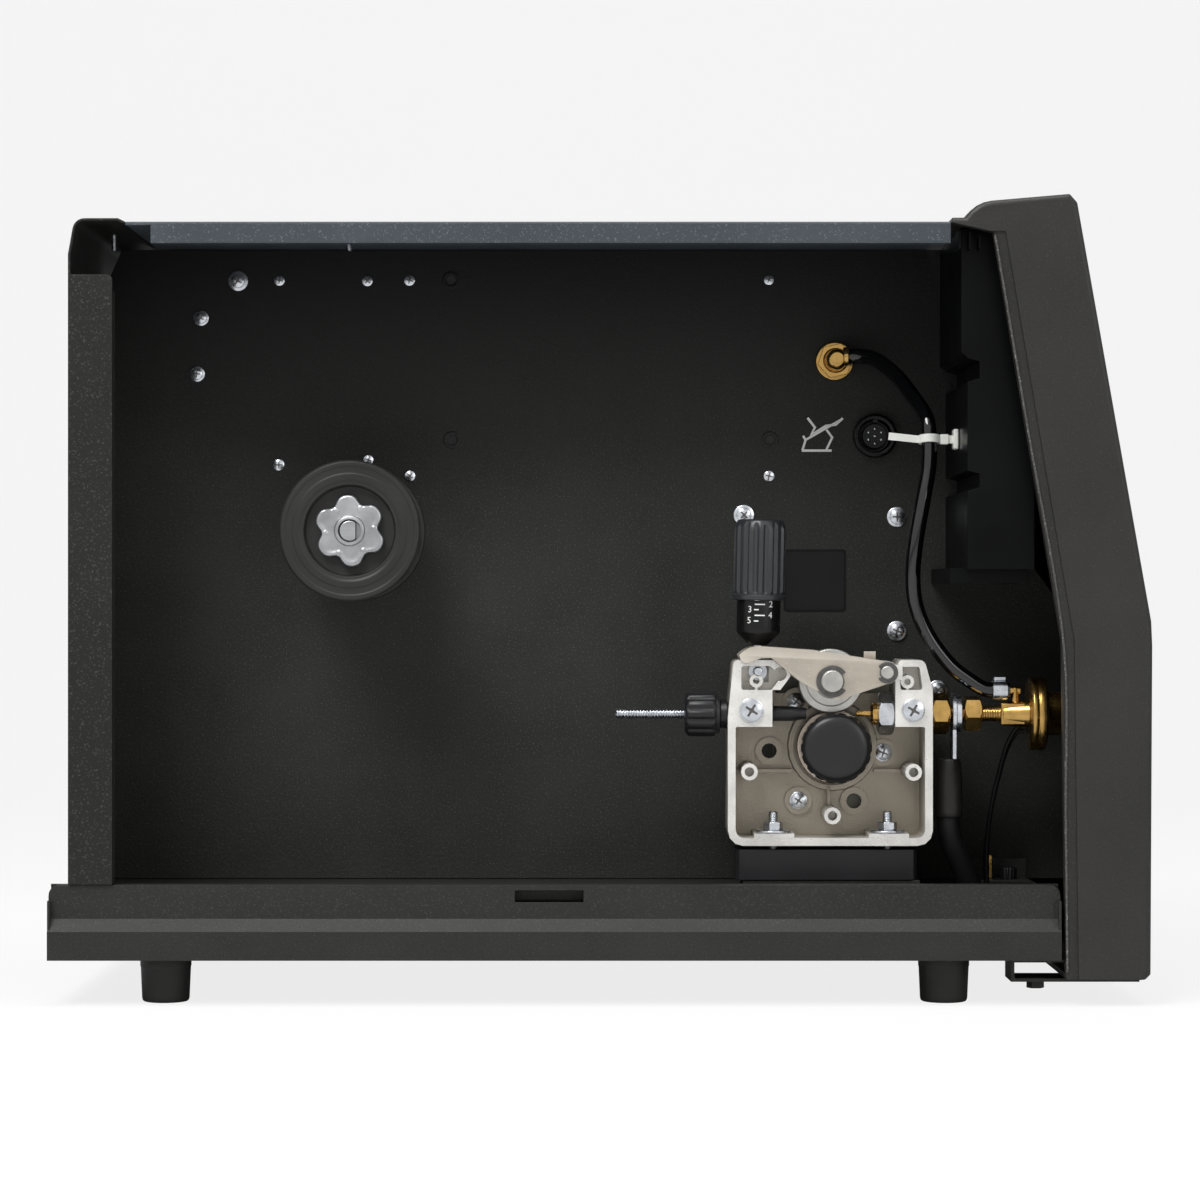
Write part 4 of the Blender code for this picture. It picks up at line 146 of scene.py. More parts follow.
def paint(name, colour, rough=0.45, metal=0.0, vary=0.15, patch=18.0, grain=700.0, bump=0.12, depth=0.0003,
          streak=None, fleck=None, edge=None, deep=None, shine=0.5, **sockets):
    """General finish: colour drifting in soft patches, a fine grain, optional flecks and streaks, sharp edges
    lightened as a painted highlight, and a painted shade that comes in along one axis."""
    g = Graph(name)
    drift = g.noise(patch, 4.0)
    base = g.blend(g.spread(drift, 0.3, 0.7), scaled(colour, 1 - vary), scaled(colour, 1 + vary))
    fine = g.noise(grain, 3.0)
    layers = [(fine, bump, depth)]
    if streak:
        lines = g.noise(60.0, 3.0, streak)
        base = g.blend(g.spread(lines, 0.35, 0.65, 0.0, 0.35), base, scaled(colour, 0.72))
        layers.append((lines, 0.06, depth))
    if fleck:
        specks = g.noise(fleck[0], 1.0)
        base = g.blend(g.spread(specks, fleck[2], fleck[2] + 0.12), base, fleck[1])
    # Painted shade: a darker tone that comes in along one axis.
    if deep:
        axis, start, end, painted_shade_tone = deep
        spot = g.tree.nodes.new("ShaderNodeNewGeometry").outputs["Position"]
        along = g.put("ShaderNodeSeparateXYZ", None, Vector=spot).outputs[axis]
        base = g.blend(g.spread(along, start, end), base, painted_shade_tone)
    # Painted highlight: sharp edges lightened through pointiness.
    if edge:
        sharp = g.put("ShaderNodeNewGeometry").outputs["Pointiness"]
        base = g.blend(g.spread(sharp, 0.515, 0.56, 0.0, 0.7), base, edge)
    g.colour(base)
    g.rough(g.spread(drift, 0.3, 0.7, rough - 0.05, rough + 0.07))
    g.bumps(*layers)
    return g.done(Metallic=metal, Specular_IOR_Level=shine, **sockets)


COAT = paint("powder_coat", (0.021, 0.0215, 0.0195), 0.46, vary=0.12, grain=620, bump=0.5, depth=0.0005,
             fleck=(1100.0, (0.045, 0.046, 0.042), 0.6), shine=0.2)
# Partition coat: darker towards the top, painted shade under the top cover.
COAT_WALL = paint("powder_coat_wall_shaded_top", (0.031, 0.0325, 0.0295), 0.5, vary=0.16, grain=560, bump=0.6,
                  depth=0.0006, fleck=(1000.0, (0.075, 0.076, 0.07), 0.6), shine=0.12,
                  deep=("Z", 0.3, 0.45, (0.009, 0.0095, 0.009)))
COAT_POST = paint("powder_coat_rear", (0.012, 0.0125, 0.011), 0.46, vary=0.12, grain=620, bump=0.5,
                  depth=0.0005, fleck=(900.0, (0.05, 0.05, 0.047), 0.6), shine=0.2)
COAT_LIP = paint("powder_coat_lip", (0.047, 0.056, 0.066), 0.42, vary=0.1, grain=700, bump=0.4, depth=0.0004,
                 fleck=(900.0, (0.12, 0.13, 0.14), 0.62), shine=0.25)
MOULDED = paint("moulded_front", (0.022, 0.0215, 0.0195), 0.44, vary=0.12, grain=800, bump=0.35, depth=0.0004,
                fleck=(1000.0, (0.045, 0.044, 0.041), 0.62), shine=0.25)
HOUSE = paint("moulded_housing", (0.0022, 0.0024, 0.0025), 0.34, vary=0.3, grain=600, bump=0.12,
              shine=0.08)
NYLON = paint("black_nylon", (0.012, 0.012, 0.0135), 0.34, vary=0.2, grain=900, bump=0.14, depth=0.0002,
              shine=0.3)
GRIP = paint("grip_nylon", (0.026, 0.027, 0.031), 0.32, vary=0.2, grain=800, bump=0.14, depth=0.0002,
             shine=0.45)
SLEEVE_BLACK = paint("sleeve_nylon", (0.006, 0.006, 0.0065), 0.3, vary=0.15, grain=900, bump=0.08,
                     depth=0.0002, shine=0.25)
CAP_BLACK = paint("roller_cap_nylon", (0.011, 0.011, 0.0115), 0.3, vary=0.25, grain=700, bump=0.12,
                  depth=0.0002, shine=0.35)
SOCKET_BLACK = paint("socket_plastic", (0.0035, 0.0035, 0.0035), 0.24, vary=0.2, grain=700, bump=0.06,
                     shine=0.2)
HUB_BLACK = paint("hub_black", (0.024, 0.025, 0.023), 0.42, vary=0.22, grain=620, bump=0.25, depth=0.0003,
                  shine=0.22)
# Die cast: darker and warmer towards the recessed floor of the casting, painted shade.
CAST = paint("die_cast_shaded_floor", (0.68, 0.665, 0.63), 0.38, 0.55, vary=0.14, patch=60, grain=900, bump=0.55,
             depth=0.0004, fleck=(900.0, (0.3, 0.28, 0.24), 0.7),
             deep=("Y", -0.084, -0.056, (0.3, 0.268, 0.215)))
GEAR = paint("gear_housing", (0.13, 0.13, 0.105), 0.5, 0.3, vary=0.15, grain=700, bump=0.35)
ZINC = paint("zinc_plate", (0.5, 0.52, 0.55), 0.24, 1.0, vary=0.18, patch=120, grain=1000, bump=0.1)
STAR = paint("star_zinc", (0.33, 0.335, 0.345), 0.34, 0.85, vary=0.25, patch=70, grain=900, bump=0.3,
             depth=0.0003)
ROLL_STEEL = paint("roller_steel", (0.34, 0.29, 0.24), 0.26, 1.0, vary=0.15, patch=120, grain=900, bump=0.1)
CLIP = paint("clip_steel", (0.09, 0.088, 0.085), 0.34, 0.6, vary=0.2, patch=200, grain=900, bump=0.15)
# The cream edge colour is a painted highlight along the arm's sharp edges.
BRONZE = paint("yellow_zinc", (0.225, 0.19, 0.15), 0.36, 0.7, vary=0.16, patch=90, grain=900, bump=0.45,
               depth=0.0003, edge=(0.74, 0.69, 0.6), fleck=(900.0, (0.34, 0.3, 0.245), 0.62))
PIN = paint("pin_steel", (0.42, 0.41, 0.385), 0.34, 0.85, vary=0.12, patch=160, grain=900, bump=0.25)
BRASS = paint("brass", (0.46, 0.285, 0.09), 0.22, 1.0, vary=0.16, patch=140, grain=900, bump=0.12,
              streak=(40.0, 1.0, 1.0))
RUBBER = paint("rubber", (0.006, 0.006, 0.006), 0.5, vary=0.15, grain=500, bump=0.15, shine=0.2)
FOOT = paint("foot_rubber", (0.014, 0.014, 0.013), 0.55, vary=0.15, grain=600, bump=0.45, shine=0.25)
HOSE = paint("hose", (0.0016, 0.0016, 0.002), 0.1, vary=0.1, grain=400, bump=0.02, shine=0.6)
SLEEVE = paint("shrink_sleeve", (0.012, 0.0115, 0.0105), 0.42, vary=0.2, grain=260, bump=0.5, depth=0.0006,
               shine=0.25)
TIE = paint("white_nylon", (0.80, 0.81, 0.76), 0.4, vary=0.05, grain=500, bump=0.1, Subsurface_Weight=0.2,
            Subsurface_Radius=(0.004, 0.004, 0.003))
INK = paint("white_ink", (0.82, 0.82, 0.8), 0.5, vary=0.05, grain=900, bump=0.1)
BOARD = paint("circuit_board", (0.02, 0.12, 0.05), 0.4, vary=0.2, grain=300, bump=0.2)
PLATE = paint("dark_label", (0.006, 0.006, 0.006), 0.3, vary=0.2, grain=700, bump=0.05, shine=0.12)
PLATE_EDGE = paint("dark_label_face", (0.010, 0.010, 0.0105), 0.3, vary=0.25, grain=700, bump=0.06,
                   shine=0.15)
# Lighter speckled bead finish: a painted highlight along the bezel's inner edge.
BEAD_HIGHLIGHT = paint("bezel_bead_highlight", (0.045, 0.044, 0.041), 0.38, vary=0.3, patch=160, grain=900, bump=0.5,
             depth=0.0004, fleck=(700.0, (0.2, 0.2, 0.19), 0.58))
# Near-black: painted shade inside the pilot holes.
HOLE_SHADE = paint("pilot_hole_painted_shade", (0.004, 0.004, 0.004), 0.7, vary=0.3, grain=600, bump=0.1)
WASHED = paint("washed_steel", (0.36, 0.37, 0.38), 0.32, 1.0, vary=0.14, patch=90, grain=900, bump=0.14,
               streak=(1.0, 1.0, 20.0))

# ---------------------------------------------------------------- shapes


def as_mesh(name, bm):
    mesh = bpy.data.meshes.new(name)
    bm.to_mesh(mesh)
    bm.free()
    return mesh


def placed(name, data):
    made = bpy.data.objects.new(name, data)
    bpy.context.scene.collection.objects.link(made)
    return made


def skin(bm, rings):
    """Faces between rings of equal count, each ring closed on itself."""
    for a, b in zip(rings, rings[1:]):
        for i in range(len(a)):
            j = (i + 1) % len(a)
            bm.faces.new((a[i], a[j], b[j], b[i]))


def capped(bm, rings):
    skin(bm, rings)
    bm.faces.new(rings[0][::-1])
    bm.faces.new(rings[-1])
    return bm


def extra(name, body, bm, mat, angle=38, bevel=0.0):
    """bmesh in millimetres to a finished piece that rides on a body."""
    bmesh.ops.recalc_face_normals(bm, faces=bm.faces)
    bmesh.ops.scale(bm, vec=(MM, MM, MM), verts=bm.verts)
    return dress(placed(name, as_mesh(name, bm)), mat, body, angle, bevel)


def dress(made, mat, body, angle, bevel):
    made.data.materials.clear()
    made.data.materials.append(mat)
    made.data.shade_smooth()
    made.data.set_sharp_from_angle(angle=math.radians(angle))
    if bevel:
        cut = made.modifiers.new("edges", "BEVEL")
        cut.width = bevel * MM
        cut.segments = 2
        cut.limit_method = "ANGLE"
        cut.angle_limit = math.radians(angle)
    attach(made, body)
    return made


AXES = {
    "X": lambda u, v, w: (w, u, v),
    "Y": lambda u, v, w: (u, w, v),
    "Z": lambda u, v, w: (u, v, w),
}


def ring_points(centre, radius, steps, phase=0.0):
    return [(centre[0] + radius * math.cos(phase + 2 * math.pi * i / steps),
             centre[1] + radius * math.sin(phase + 2 * math.pi * i / steps)) for i in range(steps)]


def lathe(profile, centre, axis="Y", steps=48):
    """Turned form; the profile is (place along the axis, radius)."""
    put = AXES[axis]
    bm = bmesh.new()
    rings = []
    for along, radius in profile:
        if radius < 1e-6:
            rings.append(None)
        else:
            rings.append([bm.verts.new(put(u, v, along)) for u, v in ring_points(centre, radius, steps)])
    pairs = list(zip(rings, rings[1:]))
    if rings[0] and rings[-1]:
        pairs.append((rings[-1], rings[0]))
    for a, b in pairs:
        if a is None or b is None:
            bm.faces.new(a or b)
            continue
        skin(bm, (a, b))
    return bm


def prism(outline, low, high, axis="Y"):
    put = AXES[axis]
    bm = bmesh.new()
    a = [bm.verts.new(put(u, v, low)) for u, v in outline]
    b = [bm.verts.new(put(u, v, high)) for u, v in outline]
    bm.faces.new(a)
    bm.faces.new(b[::-1])
    for i in range(len(a)):
        j = (i + 1) % len(a)
        bm.faces.new((a[i], b[i], b[j], a[j]))
    return bm


def brick(low, high):
    return prism([(low[0], low[1]), (high[0], low[1]), (high[0], high[1]), (low[0], high[1])], low[2],
                 high[2], "Z")


def merged(*parts):
    out = parts[0]
    for part in parts[1:]:
        mesh = as_mesh("part", part)
        out.from_mesh(mesh)
        bpy.data.meshes.remove(mesh)
    return out


def moved(bm, matrix):
    bmesh.ops.transform(bm, matrix=matrix, verts=bm.verts)
    return bm


def swept(points, radius, sides, spacing):
    """Smooth round tube along a route, with its ends square to the first and last stretch."""
    pts = [Vector(p) for p in points]
    pts = [2 * pts[0] - pts[1], *pts, 2 * pts[-1] - pts[-2]]
    fine = []
    for i in range(1, len(pts) - 2):
        a, b, c, d = pts[i - 1:i + 3]
        for step in range(12):
            t = step / 12
            fine.append(0.5 * (2 * b + (c - a) * t + (2 * a - 5 * b + 4 * c - d) * t * t
                               + (3 * b - a - 3 * c + d) * t ** 3))
    fine.append(pts[-2])
    spots = [fine[0]]
    for p in fine[1:]:
        if (p - spots[-1]).length >= spacing:
            spots.append(p)
    spots[-1] = fine[-1]
    bm = bmesh.new()
    side = Vector((0, 1, 0)) if abs((spots[1] - spots[0]).normalized().y) < 0.8 else Vector((1, 0, 0))
    rings = []
    for i, spot in enumerate(spots):
        ahead = (spots[min(i + 1, len(spots) - 1)] - spots[max(i - 1, 0)]).normalized()
        side = (side - ahead * side.dot(ahead)).normalized()
        other = ahead.cross(side)
        rings.append([bm.verts.new(spot + (side * math.cos(a) + other * math.sin(a)) * radius)
                      for a in [2 * math.pi * k / sides for k in range(sides)]])
    return capped(bm, rings)


def threaded(low, high, radius, depth, pitch, centre, axis="X", steps=24):
    """Rod whose surface runs up and down as a helical thread."""
    put = AXES[axis]
    bm = bmesh.new()
    count = int((high - low) / pitch * 8)
    rings = []
    for i in range(count + 1):
        along = low + (high - low) * i / count
        ring = []
        for k in range(steps):
            a = 2 * math.pi * k / steps
            wave = math.cos(a - 2 * math.pi * (along - low) / pitch)
            r = radius - depth / 2 + depth / 2 * max(-0.8, min(0.8, wave)) / 0.8
            ring.append(bm.verts.new(put(centre[0] + r * math.cos(a), centre[1] + r * math.sin(a), along)))
        rings.append(ring)
    return capped(bm, rings)


# ---------------------------------------------------------------- CAD nodes in finer form


def refined(node, mat, slot, bevel, angle, crisp):
    """The node's own solid with merged facets, rounded edges and even shading."""
    source = NODES[node]
    bm = bmesh.new()
    bm.from_mesh(source.data)
    bmesh.ops.remove_doubles(bm, verts=bm.verts, dist=2e-6)
    bmesh.ops.dissolve_limit(bm, angle_limit=math.radians(0.6), verts=bm.verts, edges=bm.edges)
    made = placed(node + "_fine", as_mesh(node + "_fine", bm))
    dress(made, mat, source["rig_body"], angle, bevel)
    made.data.set_sharp_from_angle(angle=math.radians(crisp))
    if node in EDGES and bevel:
        made.modifiers["edges"].harden_normals = True
    else:
        even = made.modifiers.new("even", "WEIGHTED_NORMAL")
        even.mode = "FACE_AREA_WITH_ANGLE"
        even.weight = 80
        even.keep_sharp = True
    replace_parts(made, node)


FINISH = {
    # node: (material, slot, edge rounding in mm)
    "base_pan": (COAT, "powder_coat", 0.5),
    "rear_panel": (COAT_POST, "powder_coat", 0.4),
    "cover": (COAT_LIP, "powder_coat", 0.4),
    "partition": (COAT_WALL, "powder_coat", 0.3),
    "front_bezel": (MOULDED, "black_plastic", 0.8),
    "control_housing": (HOUSE, "black_plastic", 0.5),
    "bezel_bracket": (COAT, "powder_coat", 0.3),
    "speed_knob": (NYLON, "black_plastic", 0.5),
    "voltage_knob": (NYLON, "black_plastic", 0.5),
    "spool_spindle": (WASHED, "zinc_steel", 0.2),
    "brake_washer": (BRONZE, "bronze_steel", 0.2),
    "drive_frame": (CAST, "cast_aluminium", 0.45),
    "drive_base": (NYLON, "black_plastic", 1.2),
    "drive_base_plate": (COAT, "powder_coat", 0.3),
    "gearbox": (GEAR, "cast_aluminium", 0.8),
    "drive_shaft": (ZINC, "zinc_steel", 0.2),
    "pressure_arm": (BRONZE, "bronze_steel", 0.35),
    "tension_rod": (ZINC, "zinc_steel", 0.3),
    "handle_pin": (ZINC, "zinc_steel", 0.3),
    "tension_washer": (ZINC, "zinc_steel", 0.2),
    "inlet_guide": (NYLON, "black_plastic", 0.4),
    "outlet_guide": (BRASS, "brass", 0.2),
    "outlet_locknut": (ZINC, "zinc_steel", 0.5),
    "adapter_nut_inner": (BRASS, "brass", 0.5),
    "adapter_nut_outer": (BRASS, "brass", 0.5),
    "cable_lug": (ZINC, "zinc_steel", 0.3),
    "torch_clamp": (ZINC, "zinc_steel", 0.3),
    "cable_tie": (TIE, "white_nylon", 0.3),
    "gas_valve": (BRASS, "brass", 0.5),
    "control_board": (BOARD, "circuit_board", 0.3),
}
EDGES = {
    # node: (least angle that is rounded, least angle that stays crisp)
    "base_pan": (9, 9), "front_bezel": (24, 24), "cover": (20, 20), "rear_panel": (20, 20),
    "drive_frame": (28, 7), "pressure_arm": (30, 12), "gearbox": (30, 14), "drive_base": (30, 14),
    "control_housing": (30, 14),
}
for name, (mat, slot, rounding) in FINISH.items():
    refined(name, mat, slot, rounding, *EDGES.get(name, (35, 35)))
for name in ("brake_spring", "tension_spring"):
    NODES[name].data.materials.clear()
    NODES[name].data.materials.append(ZINC)

# ---------------------------------------------------------------- camera, floor and light


def camera():
    data = bpy.data.cameras.new("camera")
    data.sensor_width = 36.0
    data.lens = 103.4
    data.clip_start, data.clip_end = 0.05, 60.0
    made = placed("camera", data)
    made.location = (-1.95 * MM, -2150 * MM, 236 * MM)
    made.rotation_euler = (math.pi / 2, 0, 0)
    bpy.context.scene.camera = made


def floor():
    bm = bmesh.new()
    line = [(-6.0, 0.0), (1.8, 0.0)]
    for i in range(1, 13):
        a = math.pi / 2 * i / 12
        line.append((1.8 + 1.2 * math.sin(a), 1.2 - 1.2 * math.cos(a)))
    line.append((3.0, 6.0))
    rows = [[bm.verts.new((x, y, z - 0.0002)) for y, z in line] for x in (-7.0, 7.0)]
    for i in range(len(line) - 1):
        bm.faces.new((rows[0][i], rows[1][i], rows[1][i + 1], rows[0][i + 1]))
    mesh = as_mesh("studio_floor", bm)
    mesh.shade_smooth()
    g = Graph("studio_white")
    g.colour(g.blend(g.spread(g.noise(2.0), 0.3, 0.7), (0.86, 0.86, 0.86), (0.88, 0.88, 0.88)))
    g.done(Roughness=0.8)
    nodes, links = g.tree.nodes, g.tree.links
    glow = nodes.new("ShaderNodeEmission")
    glow.inputs["Color"].default_value = (1, 1, 1, 1)
    glow.inputs["Strength"].default_value = 1.0
    path = nodes.new("ShaderNodeLightPath")
    seen = nodes.new("ShaderNodeMath")
    seen.operation = "MULTIPLY"
    seen.inputs[1].default_value = 0.82
    links.new(path.outputs["Is Camera Ray"], seen.inputs[0])
    mix = nodes.new("ShaderNodeMixShader")
    links.new(seen.outputs[0], mix.inputs[0])
    links.new(g.shader.outputs[0], mix.inputs[1])
    links.new(glow.outputs[0], mix.inputs[2])
    links.new(mix.outputs[0], nodes["Material Output"].inputs["Surface"])
    mesh.materials.append(g.mat)
    placed("studio_floor", mesh)


def lamp(name, spot, aim, size, power):
    data = bpy.data.lights.new(name, "AREA")
    data.shape = "RECTANGLE"
    data.size, data.size_y = size
    data.energy = power
    made = placed(name, data)
    made.location = spot
    made.rotation_euler = (Vector(aim) - Vector(spot)).to_track_quat("-Z", "Y").to_euler()


def world():
    made = bpy.data.worlds.new("studio")
    made.use_nodes = True
    nodes, links = made.node_tree.nodes, made.node_tree.links
    ground = nodes["Background"]
    ground.inputs["Color"].default_value = (1, 1, 1, 1)
    path = nodes.new("ShaderNodeLightPath")
    either = nodes.new("ShaderNodeMath")
    either.operation = "MAXIMUM"
    links.new(path.outputs["Is Camera Ray"], either.inputs[0])
    links.new(path.outputs["Is Glossy Ray"], either.inputs[1])
    strength = nodes.new("ShaderNodeMapRange")
    strength.inputs["To Min"].default_value = 0.12
    strength.inputs["To Max"].default_value = 1.0
    links.new(either.outputs[0], strength.inputs["Value"])
    links.new(strength.outputs["Result"], ground.inputs["Strength"])
    bpy.context.scene.world = made


camera()
floor()
world()
lamp("key", (-0.9, -1.7, 2.2), (0.0, 0.0, 0.2), (1.2, 0.9), 54)
lamp("side", (1.5, -1.9, 0.9), (0.1, 0.0, 0.2), (0.8, 1.2), 7)
lamp("top", (0.1, -0.5, 2.2), (0.0, -0.1, 0.3), (1.8, 0.9), 28)
bpy.context.scene.view_settings.view_transform = "Standard"

# ---------------------------------------------------------------- finer forms of turned and fluted pieces

HUB = (-150.8, 277.2)
DRIVE = (139.7, 147.2)
WIRE_Y = -75.0
WIRE_Z = 167.6
LINE = (WIRE_Y, WIRE_Z)
HANDLE_PIN = (92.8, 193.2)
HANDLE_LEAN = 1.2
GAS_PORT = (144.5, 384.9)
REMOTE = (169.4, 338.2)
CABINET = "cabinet"


def stand_in(name, node, bm, mat, angle=38, bevel=0.0):
    """A finer piece in place of a CAD node, on the node's own body."""
    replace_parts(extra(name, NODES[node]["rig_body"], bm, mat, angle, bevel), node)


def leaned(bm):
    """Tilt a piece of the tension handle to its resting lean."""
    x, z = HANDLE_PIN
    turn = (Matrix.Translation((x, 0, z)) @ Matrix.Rotation(math.radians(HANDLE_LEAN), 4, "Y")
            @ Matrix.Translation((-x, 0, -z)))
    return moved(bm, turn)


def rounded_profile(points, radius, steps=4):
    """Profile with each inner corner rounded by up to the given radius."""
    out = [points[0]]
    for before, here, after in zip(points, points[1:], points[2:]):
        a, b, c = Vector(before), Vector(here), Vector(after)
        reach = min(radius, (a - b).length * 0.45, (c - b).length * 0.45)
        if reach < 0.05:
            out.append(here)
            continue
        start, end = b + (a - b).normalized() * reach, b + (c - b).normalized() * reach
        for i in range(steps + 1):
            t = i / steps
            out.append(tuple((1 - t) ** 2 * start + 2 * t * (1 - t) * b + t * t * end))
    out.append(points[-1])
    return out


def fluted(levels, centre, axis, count, depth, steps=6, hold=0.5):
    """Loft whose rim runs in flutes; levels are (place, radius, share of the flute depth)."""
    put = AXES[axis]
    bm = bmesh.new()
    rings = []
    total = count * steps
    for along, radius, share in levels:
        ring = []
        for i in range(total):
            a = 2 * math.pi * i / total
            wave = 0.5 - 0.5 * math.cos(count * a)
            dip = depth * share * max(0.0, (wave - hold) / (1 - hold)) ** 0.7
            ring.append(bm.verts.new(put(centre[0] + (radius - dip) * math.cos(a),
                                         centre[1] + (radius - dip) * math.sin(a), along)))
        rings.append(ring)
    return capped(bm, rings)


def hub():
    x, z = HUB
    cap = rounded_profile([(-94.3, 10.8), (-94.3, 40.6), (-95.2, 41.9), (-100.6, 42.2), (-102.0, 40.9),
                           (-102.0, 38.6), (-101.5, 38.0), (-101.5, 34.4), (-102.0, 33.8), (-102.0, 30.4),
                           (-101.2, 28.9), (-101.2, 27.4), (-95.5, 26.3), (-95.5, 10.8),], 0.5, 3)
    stand_in("hub_front_ring", "spool_cap", lathe(cap, HUB, "Y", 96), HUB_BLACK, 30)
    drum = [(-41.0, 6.7), (-41.0, 41.2), (-42.0, 42.2), (-45.0, 42.2), (-46.0, 41.2), (-46.0, 25.0)]
    drum += [(-93.0, 25.0), (-94.0, 24.0), (-94.0, 17.0), (-51.0, 17.0), (-51.0, 6.7)]
    stand_in("hub_drum", "spool_mandrel", lathe(rounded_profile(drum, 0.6, 3), HUB, "Y", 96), HUB_BLACK,
             30)
    for i in range(8):
        a = math.radians(45 * i + 22.5)
        rib = lathe([(-92.0, 0.0), (-92.0, 1.1), (-90.8, 1.5), (-48.0, 1.5), (-46.2, 1.5), (-46.2, 0.0)],
                    (x + 24.4 * math.cos(a), z + 24.4 * math.sin(a)), "Y", 16)
        extra(f"hub_drum_rib_{i}", "spool_hub", rib, HUB_BLACK)
    peg = lathe(rounded_profile([(-54.6, 0.0), (-55.0, 3.6), (-54.0, 4.5), (-46.0, 4.5)], 0.6),
                (x + 34, z), "Y", 24)
    extra("hub_drive_peg", "spool_hub", peg, HUB_BLACK)
    outline = []
    for i in range(180):
        a = 2 * math.pi * i / 180
        r = 19.1 + 2.3 * (math.cos(6 * a) + 0.18 * (1 - math.cos(12 * a)))
        outline.append((a + math.radians(95), r))
    bm = bmesh.new()
    rings = []
    for y, inset in ((-97.0, 0.0), (-100.0, 0.0), (-100.9, 0.25), (-101.45, 0.8), (-101.6, 1.8),
                     (-101.6, 2.8), (-101.3, 3.6), (-101.3, 6.5)):
        rings.append([bm.verts.new((x + (r - inset) * math.cos(a), y, z + (r - inset) * math.sin(a)))
                      for a, r in outline])
    for reach, y in ((9.3, -101.6), (8.9, -102.6), (8.3, -103.0), (6.8, -103.0), (6.8, -97.0)):
        rings.append([bm.verts.new((x + reach * math.cos(a), y, z + reach * math.sin(a))) for a,
                      r in outline])
    skin(bm, rings + rings[:1])
    stand_in("hub_star_knob", "star_knob", bm, STAR, 40)
    for i in range(6):
        a = math.radians(95 + 60 * i + 30)
        spot = (x + 14.6 * math.cos(a), z + 14.6 * math.sin(a))
        dot = lathe([(-101.4, 0.0), (-101.9, 0.9), (-101.4, 1.9)], spot, "Y", 20)
        extra(f"hub_star_dot_{i}", "hub_knob", dot, STAR)


def drive_turned():
    cap = [(-91.0, 0.0), (-91.0, 12.6), (-90.75, 15.4), (-90.2, 17.6), (-89.2, 19.2), (-88.0, 20.0),
           (-87.2, 20.3)]
    levels = [(y, max(r, 0.01), 0.0) for y, r in cap]
    levels += [(-86.8, 20.6, 0.5), (-86.2, 21.2, 1.0), (-81.9, 21.2, 1.0), (-81.4, 20.8, 1.0),
               (-81.35, 12.0, 0.0)]
    stand_in("roller_cap_fluted", "roller_cap", fluted(levels, DRIVE, "Y", 18, 0.8, 8, 0.62), CAP_BLACK,
             42)
    low, high = -81.0, -69.0
    groove = [(low, 5.3), (low, 19.3), (low + 0.5, 20.0), (-76.0, 20.0), (-75.0, 19.1), (-74.0, 20.0),
              (high - 0.6, 20.0), (high, 19.4), (high, 14.0), (-50.0, 14.0), (-48.4, 13.2), (-48.4, 5.3)]
    stand_in("drive_roller_turned", "drive_roller", lathe(groove, DRIVE, "Y", 72), ROLL_STEEL,
             30)
    flange = rounded_profile([(-58.4, 14.2), (-58.4, 21.7), (-57.8, 22.3), (-54.0, 22.3), (-53.4, 21.7),
                              (-53.4, 14.2)], 0.4, 2)
    extra("drive_roller_flange", "feed_roller", lathe(flange, DRIVE, "Y", 72), ROLL_STEEL, 30)
    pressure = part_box("pressure_roller")
    x, z = (pressure[0].x + pressure[1].x) / 2 / MM, (pressure[0].z + pressure[1].z) / 2 / MM
    near, far = -91.2, -58.8
    wheel = [(near, 7.2), (near, 9.7), (near + 0.6, 10.3), (-84.0, 10.3), (-84.0, 14.4), (-83.4, 15.2),
             (-81.0, 15.2), (-81.0, 18.7), (-80.3, 19.4), (-69.7, 19.4), (-69.0, 18.7), (-69.0, 10.3),
             (far - 0.6, 10.3), (far, 9.7), (far, 7.2)]
    stand_in("pressure_roller_turned", "pressure_roller", lathe(rounded_profile(wheel, 0.3, 2), (x, z), "Y",
                                                                72), PIN, 30)


def handle():
    spot = (HANDLE_PIN[0], WIRE_Y)
    low, top = 235.8, 284.4
    grip = [(low, 13.55, 0.0), (low, 15.2, 0.0), (low + 0.5, 15.8, 0.0), (low + 2.9, 16.1, 0.0),
            (low + 3.5, 15.7, 0.0), (low + 3.9, 14.9, 0.2), (low + 4.6, 15.1, 0.7), (low + 6.0, 15.6, 1.0),
            (top - 8.0, 15.6, 1.0), (top - 5.6, 15.4, 1.0), (top - 4.0, 15.0, 0.7), (top - 3.0, 14.6, 0.2),
            (top - 1.2, 14.0, 0.0), (top - 0.4, 13.2, 0.0), (top, 12.0, 0.0), (top, 4.6, 0.0),
            (top - 0.8, 3.9, 0.0), (top - 4.0, 3.6, 0.0), (low + 1.0, 3.6, 0.0)]
    stand_in("tension_grip", "tension_cap", leaned(fluted(grip, spot, "Z", 16, 1.5, 10, 0.5)), GRIP,
             40)
    tip = 208.8
    sleeve = [(tip, 3.4), (tip, 5.0), (tip + 1.0, 6.4), (tip + 7.2, 12.7), (tip + 8.8, 13.2), (248.8, 13.2),
              (248.8, 11.0), (tip + 9.0, 11.0), (tip + 9.0, 3.4)]
    stand_in("tension_sleeve", "tension_plunger", leaned(lathe(rounded_profile(sleeve, 0.8), spot, "Z", 64)),
             SLEEVE_BLACK, 30)
    wrap_marks(spot, 13.2)


def on_cylinder(made, centre, radius, lift):
    """Wrap a flat mesh in mm, x sideways and y up, on an upright cylinder facing -Y."""
    for v in made.verts:
        a = v.co.x / radius
        r = radius + lift + v.co.z
        v.co = Vector((centre[0] + r * math.sin(a), centre[1] - r * math.cos(a), v.co.y))
    return made


